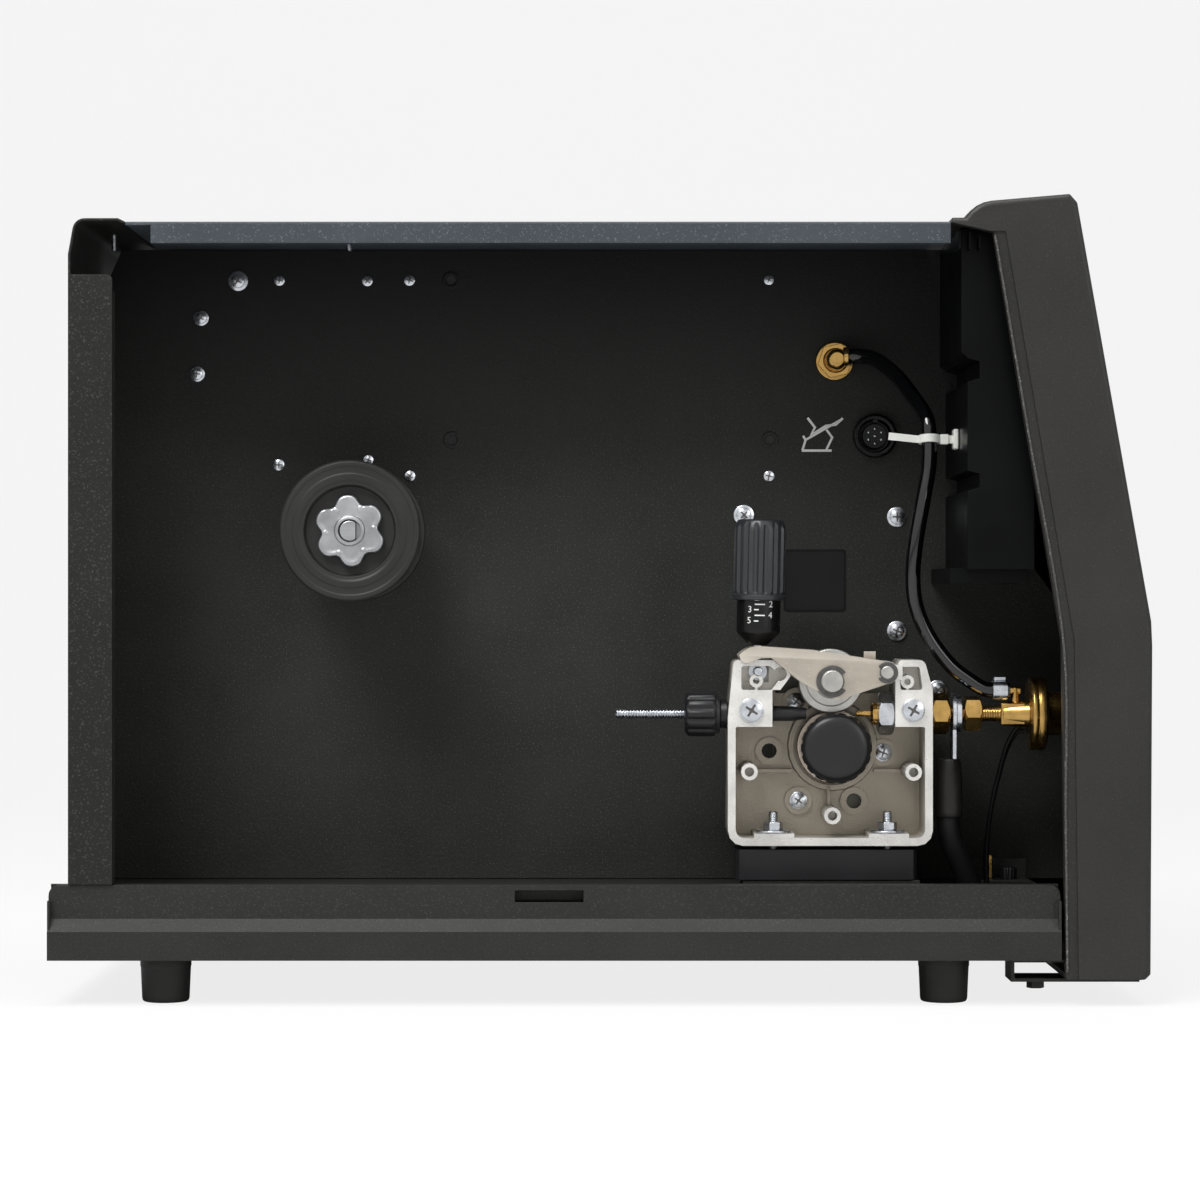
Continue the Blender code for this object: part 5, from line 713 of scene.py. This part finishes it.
def flat_text(words, size):
    """Outlined figures as a fine flat mesh in mm, centred on their middle."""
    data = bpy.data.curves.new("figures", "FONT")
    data.body = words
    data.size = size
    data.align_x, data.align_y = "CENTER", "CENTER"
    data.resolution_u = 4
    made = placed("figures", data)
    bpy.context.view_layer.update()
    seen = made.evaluated_get(bpy.context.evaluated_depsgraph_get())
    bm = bmesh.new()
    bm.from_mesh(seen.to_mesh())
    bpy.data.objects.remove(made, do_unlink=True)
    bpy.data.curves.remove(data)
    bmesh.ops.triangulate(bm, faces=bm.faces)
    return bm


def thickened(bm, depth):
    """Give a flat sheet, facing +Z, some depth behind its face."""
    top = bmesh.ops.extrude_face_region(bm, geom=bm.faces[:])
    verts = [part for part in top["geom"] if isinstance(part, bmesh.types.BMVert)]
    bmesh.ops.translate(bm, vec=(0, 0, depth), verts=verts)
    return bm


def tick(x, y, width, height):
    """Flat bar made of short pieces so that it can be wrapped."""
    bm = bmesh.new()
    count = 6
    rows = []
    for i in range(count + 1):
        px = x + width * i / count
        rows.append((bm.verts.new((px, y - height / 2, 0)), bm.verts.new((px, y + height / 2, 0))))
    for a, b in zip(rows, rows[1:]):
        bm.faces.new((a[0], b[0], b[1], a[1]))
    return bm


def wrap_marks(spot, radius):
    """Printed tension scale: figures and ticks on the front of the sleeve."""
    sheets = []
    for words, x, z in (("3", -6.0, 230.2), ("5", -6.4, 223.6), ("2", 7.0, 233.4), ("4", 6.8, 226.8)):
        text = flat_text(words, 5.4)
        moved(text, Matrix.Translation((x, z, 0)))
        sheets.append(text)
    for x, z, width in ((-3.4, 223.4, 2.8), (-3.0, 226.8, 6.2), (-3.4, 230.2, 2.8), (-3.0, 233.4, 6.2),
                        (-3.0, 236.0, 2.6)):
        sheets.append(tick(x, z, width, 0.75))
    bm = merged(*[thickened(sheet, 0.12) for sheet in sheets])
    extra("tension_scale", "plunger", leaned(on_cylinder(bm, spot, radius, -0.02)), INK, 60)


def inlet():
    right = DRIVE[0] - 65.1 - 4.2 - 0.3
    left = right - 21.0
    levels = [(left, 5.2, 0.0), (left, 11.0, 0.0), (left + 0.5, 11.9, 0.0), (left + 1.6, 12.9, 0.3),
              (left + 2.6, 13.6, 1.0), (right - 4.6, 13.8, 1.0), (right - 3.4, 13.4, 0.5),
              (right - 2.8, 12.6, 0.0), (right - 2.2, 11.6, 0.0), (right - 0.4, 11.4, 0.0),
              (right, 11.0, 0.0), (right, 3.5, 0.0)]
    stand_in("inlet_nut_fluted", "inlet_nut", fluted(levels, LINE, "X", 12, 1.4, 10, 0.5), NYLON,
             40)


def connector():
    """Torch connector turned in brass, with its threaded tail."""
    tail, block, disc_low, disc_high = 208.9, 239.0, 256.0, 265.6
    tip = 320.0
    body = [(tail + 18, 0.01), (tail + 18, 4.3), (block + 1, 4.3), (block + 1, 7.0), (disc_low, 8.4),
            (disc_low, 21.4), (disc_low + 1.0, 22.3), (disc_low + 3.4, 22.3), (disc_low + 3.8, 21.8),
            (disc_low + 4.6, 21.8), (disc_low + 5.0, 22.3), (disc_high - 1.0, 22.3), (disc_high, 21.4),
            (disc_high, 13.0), (tip - 0.6, 13.0), (tip, 12.4), (tip, 9.5), (tip - 0.6, 9.0),
            (disc_high - 3, 9.0), (disc_high - 3, 0.01)]
    bm = lathe(rounded_profile(body, 0.3, 2), LINE, "X", 72)
    lump = brick((block, WIRE_Y - 6.4, WIRE_Z - 6.2), (block + 14, WIRE_Y + 6.4, WIRE_Z + 6.2))
    barb = lathe([(WIRE_Z + 4, 0.0), (WIRE_Z + 4, 2.6), (183.1, 2.6), (183.1, 0.0)], (block + 9, WIRE_Y),
                 "Z", 24)
    nipple = lathe([(block + 2, 0.0), (block + 2, 2.1), (block + 3, 2.4), (block + 12, 2.4),
                    (block + 12, 0.0)], (WIRE_Y, WIRE_Z + 14), "X", 24)
    stand_in("torch_connector", "torch_adapter", merged(bm, lump, barb, nipple), BRASS, 30, 0.5)
    for name, start, end in (("connector_thread", tail, tail + 19),
                             ("connector_thread_tail", tail + 18.5, block + 1.2)):
        extra(name, CABINET, threaded(start, end, 4.9, 0.8, 1.5, LINE, "X", 32), BRASS, 60)
    low = 307.5
    guard = [(low, 13.3), (low, 19.0), (319.3, 19.0), (319.3, 25.0), (322.0, 25.0), (323.0, 24.0),
             (323.0, 14.6), (322.4, 13.8), (321.0, 13.3)]
    stand_in("torch_guard", "torch_flange", lathe(rounded_profile(guard, 0.6, 3), LINE, "X", 96), NYLON,
             30)


def brass_port():
    x = GAS_PORT[0]
    body = [(14.0, 0.01), (14.0, 5.5), (13.0, 6.5), (-0.3, 6.5), (-0.3, 11.4), (-0.9, 12.0), (-1.9, 12.0),
            (-2.4, 11.4), (-2.4, 8.0), (-8.0, 7.8), (-9.0, 7.0), (-19.0, 6.2), (-20.8, 5.6), (-22.0, 4.2),
            (-22.0, 0.01)]
    bm = lathe(rounded_profile(body, 0.3, 2), GAS_PORT, "Y", 64)
    nipple = lathe([(x, 0.0), (x, 2.4), (153.4, 2.4), (154.0, 2.1), (154.0, 0.0)], (-18.0, 386.6), "X", 24)
    hexagon = prism(ring_points(GAS_PORT, 11.2, 6, math.radians(12)), -7.6, -2.3)
    collar = lathe([(148.4, 0.0), (148.4, 5.2), (149.0, 5.8), (151.4, 5.8), (151.9, 5.2), (151.9, 0.0)],
                   (-18.0, 386.6), "X", 32)
    stand_in("gas_bulkhead", "gas_port", merged(bm, nipple, hexagon, collar), BRASS, 30, 0.4)


def pedal_socket():
    x, z = REMOTE
    front = -6.0
    shell = [(20.0, 0.01), (20.0, 11.0), (-0.3, 11.0), (-0.3, 13.6), (front + 1.4, 13.6), (front + 0.4, 13.0),
             (front, 12.0), (front, 10.8), (front + 0.5, 10.1), (front + 11, 9.7), (front + 11, 0.01)]
    bm = lathe(rounded_profile(shell, 0.4, 3), REMOTE, "Y", 72)
    key = brick((x - 1.5, front + 1.6, z + 8.4), (x + 1.5, front + 11.4, z + 10.6))
    face = lathe([(front + 5.8, 0.0), (front + 5.6, 1.0), (front + 5.6, 7.4), (front + 6.0, 7.9),
                  (front + 11.2, 7.9)], REMOTE, "Y", 48)
    stand_in("pedal_socket", "remote_socket", merged(bm, key), SOCKET_BLACK, 30)
    extra("pedal_socket_core", CABINET, face, SOCKET_BLACK, 30)
    for i in range(7):
        a = math.radians(60 * i + 30)
        reach = 0.0 if i == 6 else 4.6
        spot = (x + reach * math.cos(a), z + reach * math.sin(a))
        pin = lathe([(front + 4.2, 0.0), (front + 3.8, 0.5), (front + 4.3, 0.95), (front + 6.2, 0.95)],
                    spot, "Y", 14)
        extra(f"pedal_socket_pin_{i}", CABINET, pin, ZINC, 50)
    ring = lathe([(front - 0.02, 11.6), (front - 0.25, 11.8), (front - 0.25, 12.2), (front - 0.02, 12.4)],
                 REMOTE, "Y", 72)
    extra("pedal_socket_ring", CABINET, ring, SOCKET_BLACK, 60)


def feet():
    for node in ("foot_front_rear", "foot_front_nose", "foot_back_rear", "foot_back_nose"):
        low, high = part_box(node)
        spot = ((low.x + high.x) / 2 / MM, (low.y + high.y) / 2 / MM)
        top = high.z / MM
        form = [(0.0, 0.01), (0.0, 12.6), (0.6, 13.5), (2.0, 13.9), (top - 6.0, 14.7), (top - 5.2, 15.0),
                (top - 0.6, 15.0), (top, 14.4), (top, 0.01)]
        stand_in(node + "_turned", node, lathe(rounded_profile(form, 0.5, 3), spot, "Z", 48), FOOT,
                 40)


def motor():
    low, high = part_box("motor")
    near, far = low.y / MM, high.y / MM - 5.0
    r = 31.0
    form = [(near, 0.01), (near, r - 3), (near + 1.4, r - 1.0), (near + 8, r - 1.0), (near + 8.6, r),
            (far - 12, r), (far - 11.4, r - 1.4), (far - 2, r - 1.4), (far, r - 3.4), (far, 8.0),
            (far + 4.6, 8.0), (far + 5, 7.4), (far + 5, 0.01)]
    form = rounded_profile(form, 0.8, 3)
    stand_in("motor_can", "motor", lathe(form, DRIVE, "Y", 72), GEAR, 35)


hub()
drive_turned()
handle()
inlet()
connector()
brass_port()
pedal_socket()
feet()
motor()

# ---------------------------------------------------------------- hoses, cables and threads

GAS_ROUTE = (
    (152.0, -18.0, 386.6), (158.0, -18.4, 386.8), (168.0, -27.0, 384.0), (180.0, -42.0, 372.6),
    (188.4, -56.0, 359.4), (194.8, -71.6, 346.0), (196.2, -76.0, 332.6), (195.6, -78.6, 316.0),
    (192.0, -82.0, 296.2), (187.8, -82.0, 272.2), (186.0, -80.0, 251.0), (188.0, -78.0, 232.6),
    (196.0, -76.0, 214.0), (209.0, -75.0, 196.8), (221.0, -75.0, 187.4), (229.0, -75.0, 182.6),
    (235.0, -75.0, 181.6), (244.6, -75.0, 181.6),
)
WELD_ROUTE = (
    (208.4, -72.0, 105.0), (208.4, -72.0, 99.0), (211.0, -70.0, 88.0), (217.0, -66.0, 75.0),
    (222.6, -62.0, 62.0), (225.0, -61.0, 52.0),
)
TRIGGER_ROUTE = (
    (255.4, -60.0, 160.0), (252.0, -60.0, 160.0), (245.6, -57.0, 149.0), (240.5, -50.0, 128.0),
    (237.0, -46.0, 110.0), (235.0, -40.0, 88.0), (235.0, -38.0, 66.0), (235.0, -38.0, 52.0),
)


def cables():
    stand_in("gas_hose_round", "gas_hose", swept(GAS_ROUTE, 4.6, 24, 3.0), HOSE, 60)
    stand_in("weld_cable_round", "weld_cable", swept(WELD_ROUTE, 7.0, 24, 3.0), RUBBER, 60)
    for letter, shift in (("a", (0, 0, 0)), ("b", (0, 5.0, -3.6))):
        route = [tuple(c + s for c, s in zip(p, shift)) for p in TRIGGER_ROUTE]
        wire = f"trigger_wire_{letter}"
        stand_in(wire + "_round", wire, swept(route, 1.5, 14, 3.0), RUBBER, 60)
    low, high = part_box("inlet_liner")
    liner = threaded(low.x / MM, high.x / MM, 3.2, 0.9, 2.0, LINE)
    stand_in("inlet_liner_wound", "inlet_liner", liner, ZINC, 60)


def shrink_sleeve():
    low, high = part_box("heat_shrink")
    top, foot = high.z / MM, low.z / MM
    middle_x, middle_y = (low.x + high.x) / 2 / MM, (low.y + high.y) / 2 / MM
    bm = bmesh.new()
    rings = []
    steps, sides = 26, 36
    for i in range(steps + 1):
        t = i / steps
        z = top + (foot - top) * t
        flat = max(0.0, 1 - t / 0.3)
        wide = 7.6 - 1.0 * flat + 0.12 * math.sin(9 * t)
        deep = 7.9 + 0.9 * flat + 0.1 * math.sin(7 * t + 1)
        if t > 0.87:
            wide = deep = 8.0
        if t in (0.0, 1.0):
            wide, deep = wide - 0.5, deep - 0.5
        ring = []
        for k in range(sides):
            a = 2 * math.pi * k / sides
            crease = 0.16 * math.sin(3 * a + 5 * t) * (t < 0.86)
            ring.append(bm.verts.new((middle_x + (wide + crease) * math.cos(a) - 0.3 * (1 - t),
                                      middle_y + (deep + crease) * math.sin(a), z)))
        rings.append(ring)
    skin(bm, rings)
    bm.faces.new(rings[0])
    bm.faces.new(rings[-1][::-1])
    stand_in("heat_shrink_sleeve", "heat_shrink", bm, SLEEVE, 60)


cables()
shrink_sleeve()

# ---------------------------------------------------------------- screws


def cross_head(radius, height):
    """Pan head seated at 0 and facing -Y, with a cross on its dome; the cross is material 1, a dark sheet as
    painted shade for the cross recess.
    """
    def rise(reach):
        return height * (1 - 0.42 * (reach / radius) ** 2)

    dome = [(0.0, 0.01), (0.0, radius - 0.25), (-0.25, radius)]
    dome += [(-rise(radius) + 0.5, radius), (-rise(radius * 0.96) - 0.05, radius * 0.95)]
    dome += [(-rise(radius * k), radius * k) for k in (0.85, 0.72, 0.6, 0.45, 0.3, 0.15)]
    dome += [(-height, 0.01)]
    bm = lathe(dome, (0, 0), "Y", 32)
    for face in bm.faces:
        face.material_index = 0
    reach, half = radius * 0.62, radius * 0.115
    for turn in range(4):
        rows = []
        for i in range(5):
            along = half + (reach - half) * i / 4
            wide = half * (1.25 if i == 0 else 1.0 - 0.12 * i / 4)
            row = []
            for side in (-wide, wide):
                a = math.radians(90 * turn)
                x, z = along * math.cos(a) - side * math.sin(a), along * math.sin(a) + side * math.cos(a)
                row.append(bm.verts.new((x, -rise(math.hypot(x, z)) - 0.03, z)))
            rows.append(row)
        for a, b in zip(rows, rows[1:]):
            bm.faces.new((a[0], b[0], b[1], a[1])).material_index = 1
    middle = ring_points((0, 0), half * 1.9, 8, math.radians(22.5))
    bm.faces.new([bm.verts.new((x, -height - 0.03, z)) for x, z in middle]).material_index = 1
    return bm


HEADS = {}


def screw(name, x, y, z, radius, height, turn, washer):
    """Screw head seated on a face at depth y, with its washer if it has one."""
    key = (radius, height)
    if key not in HEADS:
        bm = cross_head(radius, height)
        bmesh.ops.scale(bm, vec=(MM, MM, MM), verts=bm.verts)
        mesh = as_mesh("screw_head", bm)
        mesh.materials.append(ZINC)
        # Material 1, the cross: dark steel as painted shade in the recess.
        mesh.materials.append(CLIP)
        mesh.shade_smooth()
        mesh.set_sharp_from_angle(angle=math.radians(30))
        HEADS[key] = mesh
    seat = y
    if washer:
        ring = lathe([(y, 0.0), (y, washer - 0.2), (y - 0.2, washer), (y - 0.9, washer),
                      (y - 1.1, washer - 0.3), (y - 1.1, 0.0)], (x, z), "Y", 36)
        extra(name + "_washer", CABINET, ring, ZINC)
        seat = y - 1.1
    made = placed(name, HEADS[key])
    made.location = (x * MM, seat * MM, z * MM)
    made.rotation_euler = (0, math.radians(turn), 0)
    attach(made, CABINET)


WALL_SCREWS = (
    # x, z, head radius, height, turn, washer radius
    (-227.7, 434.9, 4.4, 2.6, 30, 6.2), (-201.8, 435.2, 3.4, 2.0, 10, 0), (-146.9, 434.9, 3.4, 2.0, 40, 0),
    (-120.7, 435.2, 3.4, 2.0, 15, 0), (103.4, 435.5, 3.2, 2.0, 25, 0), (-202.1, 320.2, 3.6, 2.0, 0, 0),
    (-120.4, 313.3, 3.4, 2.0, 40, 0), (-146.3, 323.3, 3.2, 2.0, 20, 0), (103.4, 313.3, 3.4, 2.0, 12, 0),
    (-250.7, 411.8, 3.6, 2.2, 35, 4.8), (-253.2, 376.9, 3.6, 2.2, 5, 4.8),
    (87.8, 289.0, 4.6, 2.8, 45, 6.4), (183.2, 287.8, 4.6, 2.8, 0, 6.2), (183.2, 216.7, 4.6, 2.8, 20, 6.2),
    (208.8, 179.9, 4.6, 2.8, 38, 6.2),
)
for i, (x, z, r, h, turn, washer) in enumerate(WALL_SCREWS):
    screw(f"wall_screw_{i}", x, 0.0, z, r, h, turn, washer)

# ---------------------------------------------------------------- clips, screws and studs of the drive

PRESSURE = (136.7, 187.388)
ARM_PIN = (169.5, 192.7)
ARM_FRONT_Y = -93.5


def pin_with_clip(name, node, spot, radius, low, high, clip_radius, opening):
    """Turned pin end with its groove, and its clip, in place of the CAD pin."""
    clip = ARM_FRONT_Y - 1.5
    form = [(low, 0.01), (low, radius - 0.8), (low + 0.3, radius - 0.3), (low + 0.8, radius),
            (clip - 0.2, radius), (clip - 0.2, radius - 0.5), (clip + 1.4, radius - 0.5),
            (clip + 1.4, radius), (high - 0.5, radius), (high, radius - 0.5), (high, 0.01)]
    bm = lathe(form, spot, "Y", 48)
    outline = []
    first, last = opening + 34, opening + 326
    for i in range(49):
        a = math.radians(first + (last - first) * i / 48)
        outline.append((spot[0] + clip_radius * math.cos(a), spot[1] + clip_radius * math.sin(a)))
    for i in range(49):
        a = math.radians(last - (last - first) * i / 48)
        outline.append((spot[0] + (radius - 0.4) * math.cos(a), spot[1] + (radius - 0.4) * math.sin(a)))
    stand_in(name, node, bm, PIN, 30)
    extra(name + "_clip", NODES[node]["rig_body"], prism(outline, clip, clip + 1.2), CLIP, 30,
          0.2)


def pins():
    for node, spot, radius, clip_radius, opening in (
            ("arm_pin", ARM_PIN, 4.2, 6.4, 180), ("pressure_axle", PRESSURE, 6.9, 9.6, 0)):
        low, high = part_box(node)
        pin_with_clip(node + "_turned", node, spot, radius, low.y / MM, high.y / MM, clip_radius, opening)


def drive_screws():
    """Clamp-block and gearbox screws, and the studs with their washers and nuts."""
    screw("clamp_screw_left", 88.6, -88.0, 170.0, 6.6, 3.0, 32, 7.4)
    screw("clamp_screw_right", 185.4, -88.0, 170.0, 6.3, 3.0, 30, 6.9)
    for i, (x, z, turn) in enumerate(((-22.3, 27.0, 40), (30.7, -4.2, 20), (-20.9, -33.3, 35))):
        screw(f"gearbox_screw_{i}", DRIVE[0] + x, -50.4, DRIVE[1] + z, 4.4, 2.6, turn, 5.4)
    for side in ("left", "right"):
        low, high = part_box("mount_stud_" + side)
        x, y = (low.x + high.x) / 2 / MM, (low.y + high.y) / 2 / MM
        foot, top = low.z / MM, high.z / MM
        washer = lathe(rounded_profile([(96.15, 3.3), (96.15, 10.0), (96.6, 10.6), (97.4, 10.6), (97.8, 10.0),
                                        (97.8, 3.3)], 0.2, 2), (x, y), "Z", 48)
        nut = prism(ring_points((x, y), 6.1, 6, math.radians(8)), 97.8, 102.6, "Z")
        thread = threaded(foot, top - 0.6, 3.0, 0.55, 1.0, (x, y), "Z", 24)
        end = lathe([(top - 0.6, 0.0), (top - 0.6, 2.7), (top, 2.2), (top, 0.0)], (x, y), "Z", 24)
        stand_in(f"stud_{side}_thread", "mount_stud_" + side, merged(thread, end), ZINC, 60)
        extra(f"stud_{side}_washer", CABINET, washer, ZINC, 30)
        extra(f"stud_{side}_nut", CABINET, nut, ZINC, 30, 0.5)


# ---------------------------------------------------------------- marks and plates on the partition


def flat_on_wall(bm, x, z, y):
    """Turn a flat mesh (x sideways, y up) to stand on a wall that faces -Y."""
    return moved(bm, Matrix.Translation((x, y, z)) @ Matrix.Rotation(math.radians(90), 4, "X"))


def stroke(points, width, closed=False):
    """Flat line of even width through points; x sideways and y up."""
    bm = bmesh.new()
    pts = [Vector((*p, 0)) for p in points]
    count = len(pts)
    rows = []
    for i, p in enumerate(pts):
        before = pts[i - 1] if (i or closed) else None
        after = pts[(i + 1) % count] if (i < count - 1 or closed) else None
        way = ((p - before).normalized() if before is not None else Vector()) + (
            (after - p).normalized() if after is not None else Vector())
        way.normalize()
        out = Vector((-way.y, way.x, 0))
        grow = 1.0
        if before is not None and after is not None:
            cosine = max(0.5, way.dot((after - p).normalized()))
            grow = 1 / cosine
        rows.append((bm.verts.new(p + out * width / 2 * grow), bm.verts.new(p - out * width / 2 * grow)))
    for a, b in zip(rows, rows[1:] + (rows[:1] if closed else [])):
        bm.faces.new((a[0], a[1], b[1], b[0]))
    return bm


def pedal_mark():
    """Plain drawing of a foot over a pedal, beside the pedal's socket."""
    foot = [(-9.0, 9.6), (-4.4, 3.6), (-6.6, -0.6), (2.4, 4.6), (8.6, 5.4), (13.0, 9.4)]
    sole = [(-9.6, -3.8), (11.4, 8.2)]
    plate = [(-12.2, -10.6), (-10.2, -4.2), (-11.8, -1.6)]
    base = [(-12.6, -10.8), (6.0, -10.8)]
    hinge = [(2.6, -10.6), (6.4, -2.6), (2.8, 2.2)]
    lines = [stroke(p, w) for p, w in ((foot, 1.5), (sole, 1.4), (plate, 1.4), (base, 1.5), (hinge, 1.4))]
    bm = merged(*[thickened(line, 0.12) for line in lines])
    extra("pedal_mark", CABINET, flat_on_wall(bm, 136.5, 340.0, -0.02), INK, 60)


def bare_plate():
    """Dark square plate left bare, with a slightly raised face."""
    low, high = (112.6, 228.6), (151.6, 267.6)
    face = prism(corner_box(low, high, 2.0), -0.28, -0.02)
    extra("bare_plate", CABINET, face, PLATE, 30, 0.1)
    inset = 1.6
    inner = corner_box((low[0] + inset, low[1] + inset), (high[0] - inset, high[1] - inset), 1.6)
    extra("bare_plate_face", CABINET, prism(inner, -0.42, -0.3), PLATE_EDGE, 30)


def corner_box(low, high, radius, steps=5):
    """Rectangle outline with rounded corners."""
    out = []
    for cx, cz, start in ((high[0] - radius, high[1] - radius, 0), (low[0] + radius, high[1] - radius, 90),
                          (low[0] + radius, low[1] + radius, 180), (high[0] - radius, low[1] + radius, 270)):
        for i in range(steps + 1):
            a = math.radians(start + 90 * i / steps)
            out.append((cx + radius * math.cos(a), cz + radius * math.sin(a)))
    return out


def dimples():
    """Drawn rims round the pilot holes, and a near-black dish in each hole as painted shade."""
    for i, (x, z) in enumerate(((-94.9, 435.5), (-94.2, 335.8), (104.0, 335.8))):
        rim = [(-0.02, 5.6), (-0.5, 5.2), (-0.75, 4.4), (-0.6, 3.6), (-0.1, 2.9), (-0.02, 2.9)]
        extra(f"pilot_rim_{i}", CABINET, lathe(rim, (x, z), "Y", 40), COAT_WALL, 80)
        cup = lathe([(-0.05, 0.0), (-0.12, 2.0), (-0.3, 2.95), (-0.05, 2.95)], (x, z), "Y", 32)
        extra(f"pilot_hole_shade_{i}", CABINET, cup, HOLE_SHADE, 60)


def tie_head():
    """Head of the cable tie, over the CAD strap."""
    x, z = 202.6, 332.6
    head = brick((x, -79.4, z - 3.0), (x + 5.0, -73.6, z + 3.0))
    extra("cable_tie_head", CABINET, head, TIE, 30, 0.5)


# ---------------------------------------------------------------- bezel trims and other small fittings


def bezel_trims():
    """Rounded bead in a lighter speckled finish along the inner edge of each side, a painted highlight, and
    the moulded ribs under the arch.
    """
    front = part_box("front_bezel")[1][0] / MM
    edge = ((front - 49.6, 20.0), (front - 50.6, 110.0), (front - 52.0, 212.5), (front - 72.2, 333.0),
            (front - 91.6, 448.0))
    for side, y in (("near", -149.2), ("far", 149.2)):
        path = [(x, y, z) for x, z in edge]
        extra(f"bezel_bead_highlight_{side}", CABINET, swept(path, 0.8, 10, 6.0), BEAD_HIGHLIGHT, 60)
    for i, (x, high) in enumerate(((207.6, 452.0), (213.4, 451.0), (219.2, 449.0))):
        rib = brick((x, -138.0, 441.0), (x + 1.3, -118.0, high))
        extra(f"arch_rib_{i}", CABINET, rib, HOUSE, 30, 0.2)


def hanging_tips():
    """Ends of the top cover's screws, seen below its sheet."""
    for i, (x, y, low) in enumerate(((-291.0, -100.0, 443.8), (-153.3, -70.0, 446.6))):
        tip = threaded(low, 453.0, 1.7, 0.4, 0.8, (x, y), "Z", 20)
        extra(f"cover_screw_tip_{i}", CABINET, tip, ZINC, 60)


def floor_fittings():
    """Cable bracket with its thumb screw on the floor by the bezel."""
    foot = merged(brick((228.0, -38.0, 62.3), (262.0, -14.0, 64.3)),
                  brick((228.0, -16.0, 62.4), (262.0, -14.0, 76.0)))
    extra("cable_bracket", CABINET, foot, COAT, 30, 0.4)
    levels = [(64.3, 4.4, 0.0), (64.5, 5.0, 0.0), (66.0, 5.2, 1.0), (70.6, 5.2, 1.0), (71.4, 4.8, 0.0),
              (72.0, 3.6, 0.0)]
    extra("cable_bracket_screw", CABINET, fluted(levels, (249.5, -27.0), "Z", 14, 0.6, 6), NYLON,
          40)
    strip = brick((236.6, -25.0, 64.4), (239.8, -19.0, 78.6))
    extra("cable_bracket_strip", CABINET, strip, BRASS, 30, 0.3)


bezel_trims()
hanging_tips()
floor_fittings()
pins()
drive_screws()
pedal_mark()
bare_plate()
dimples()
tie_head()
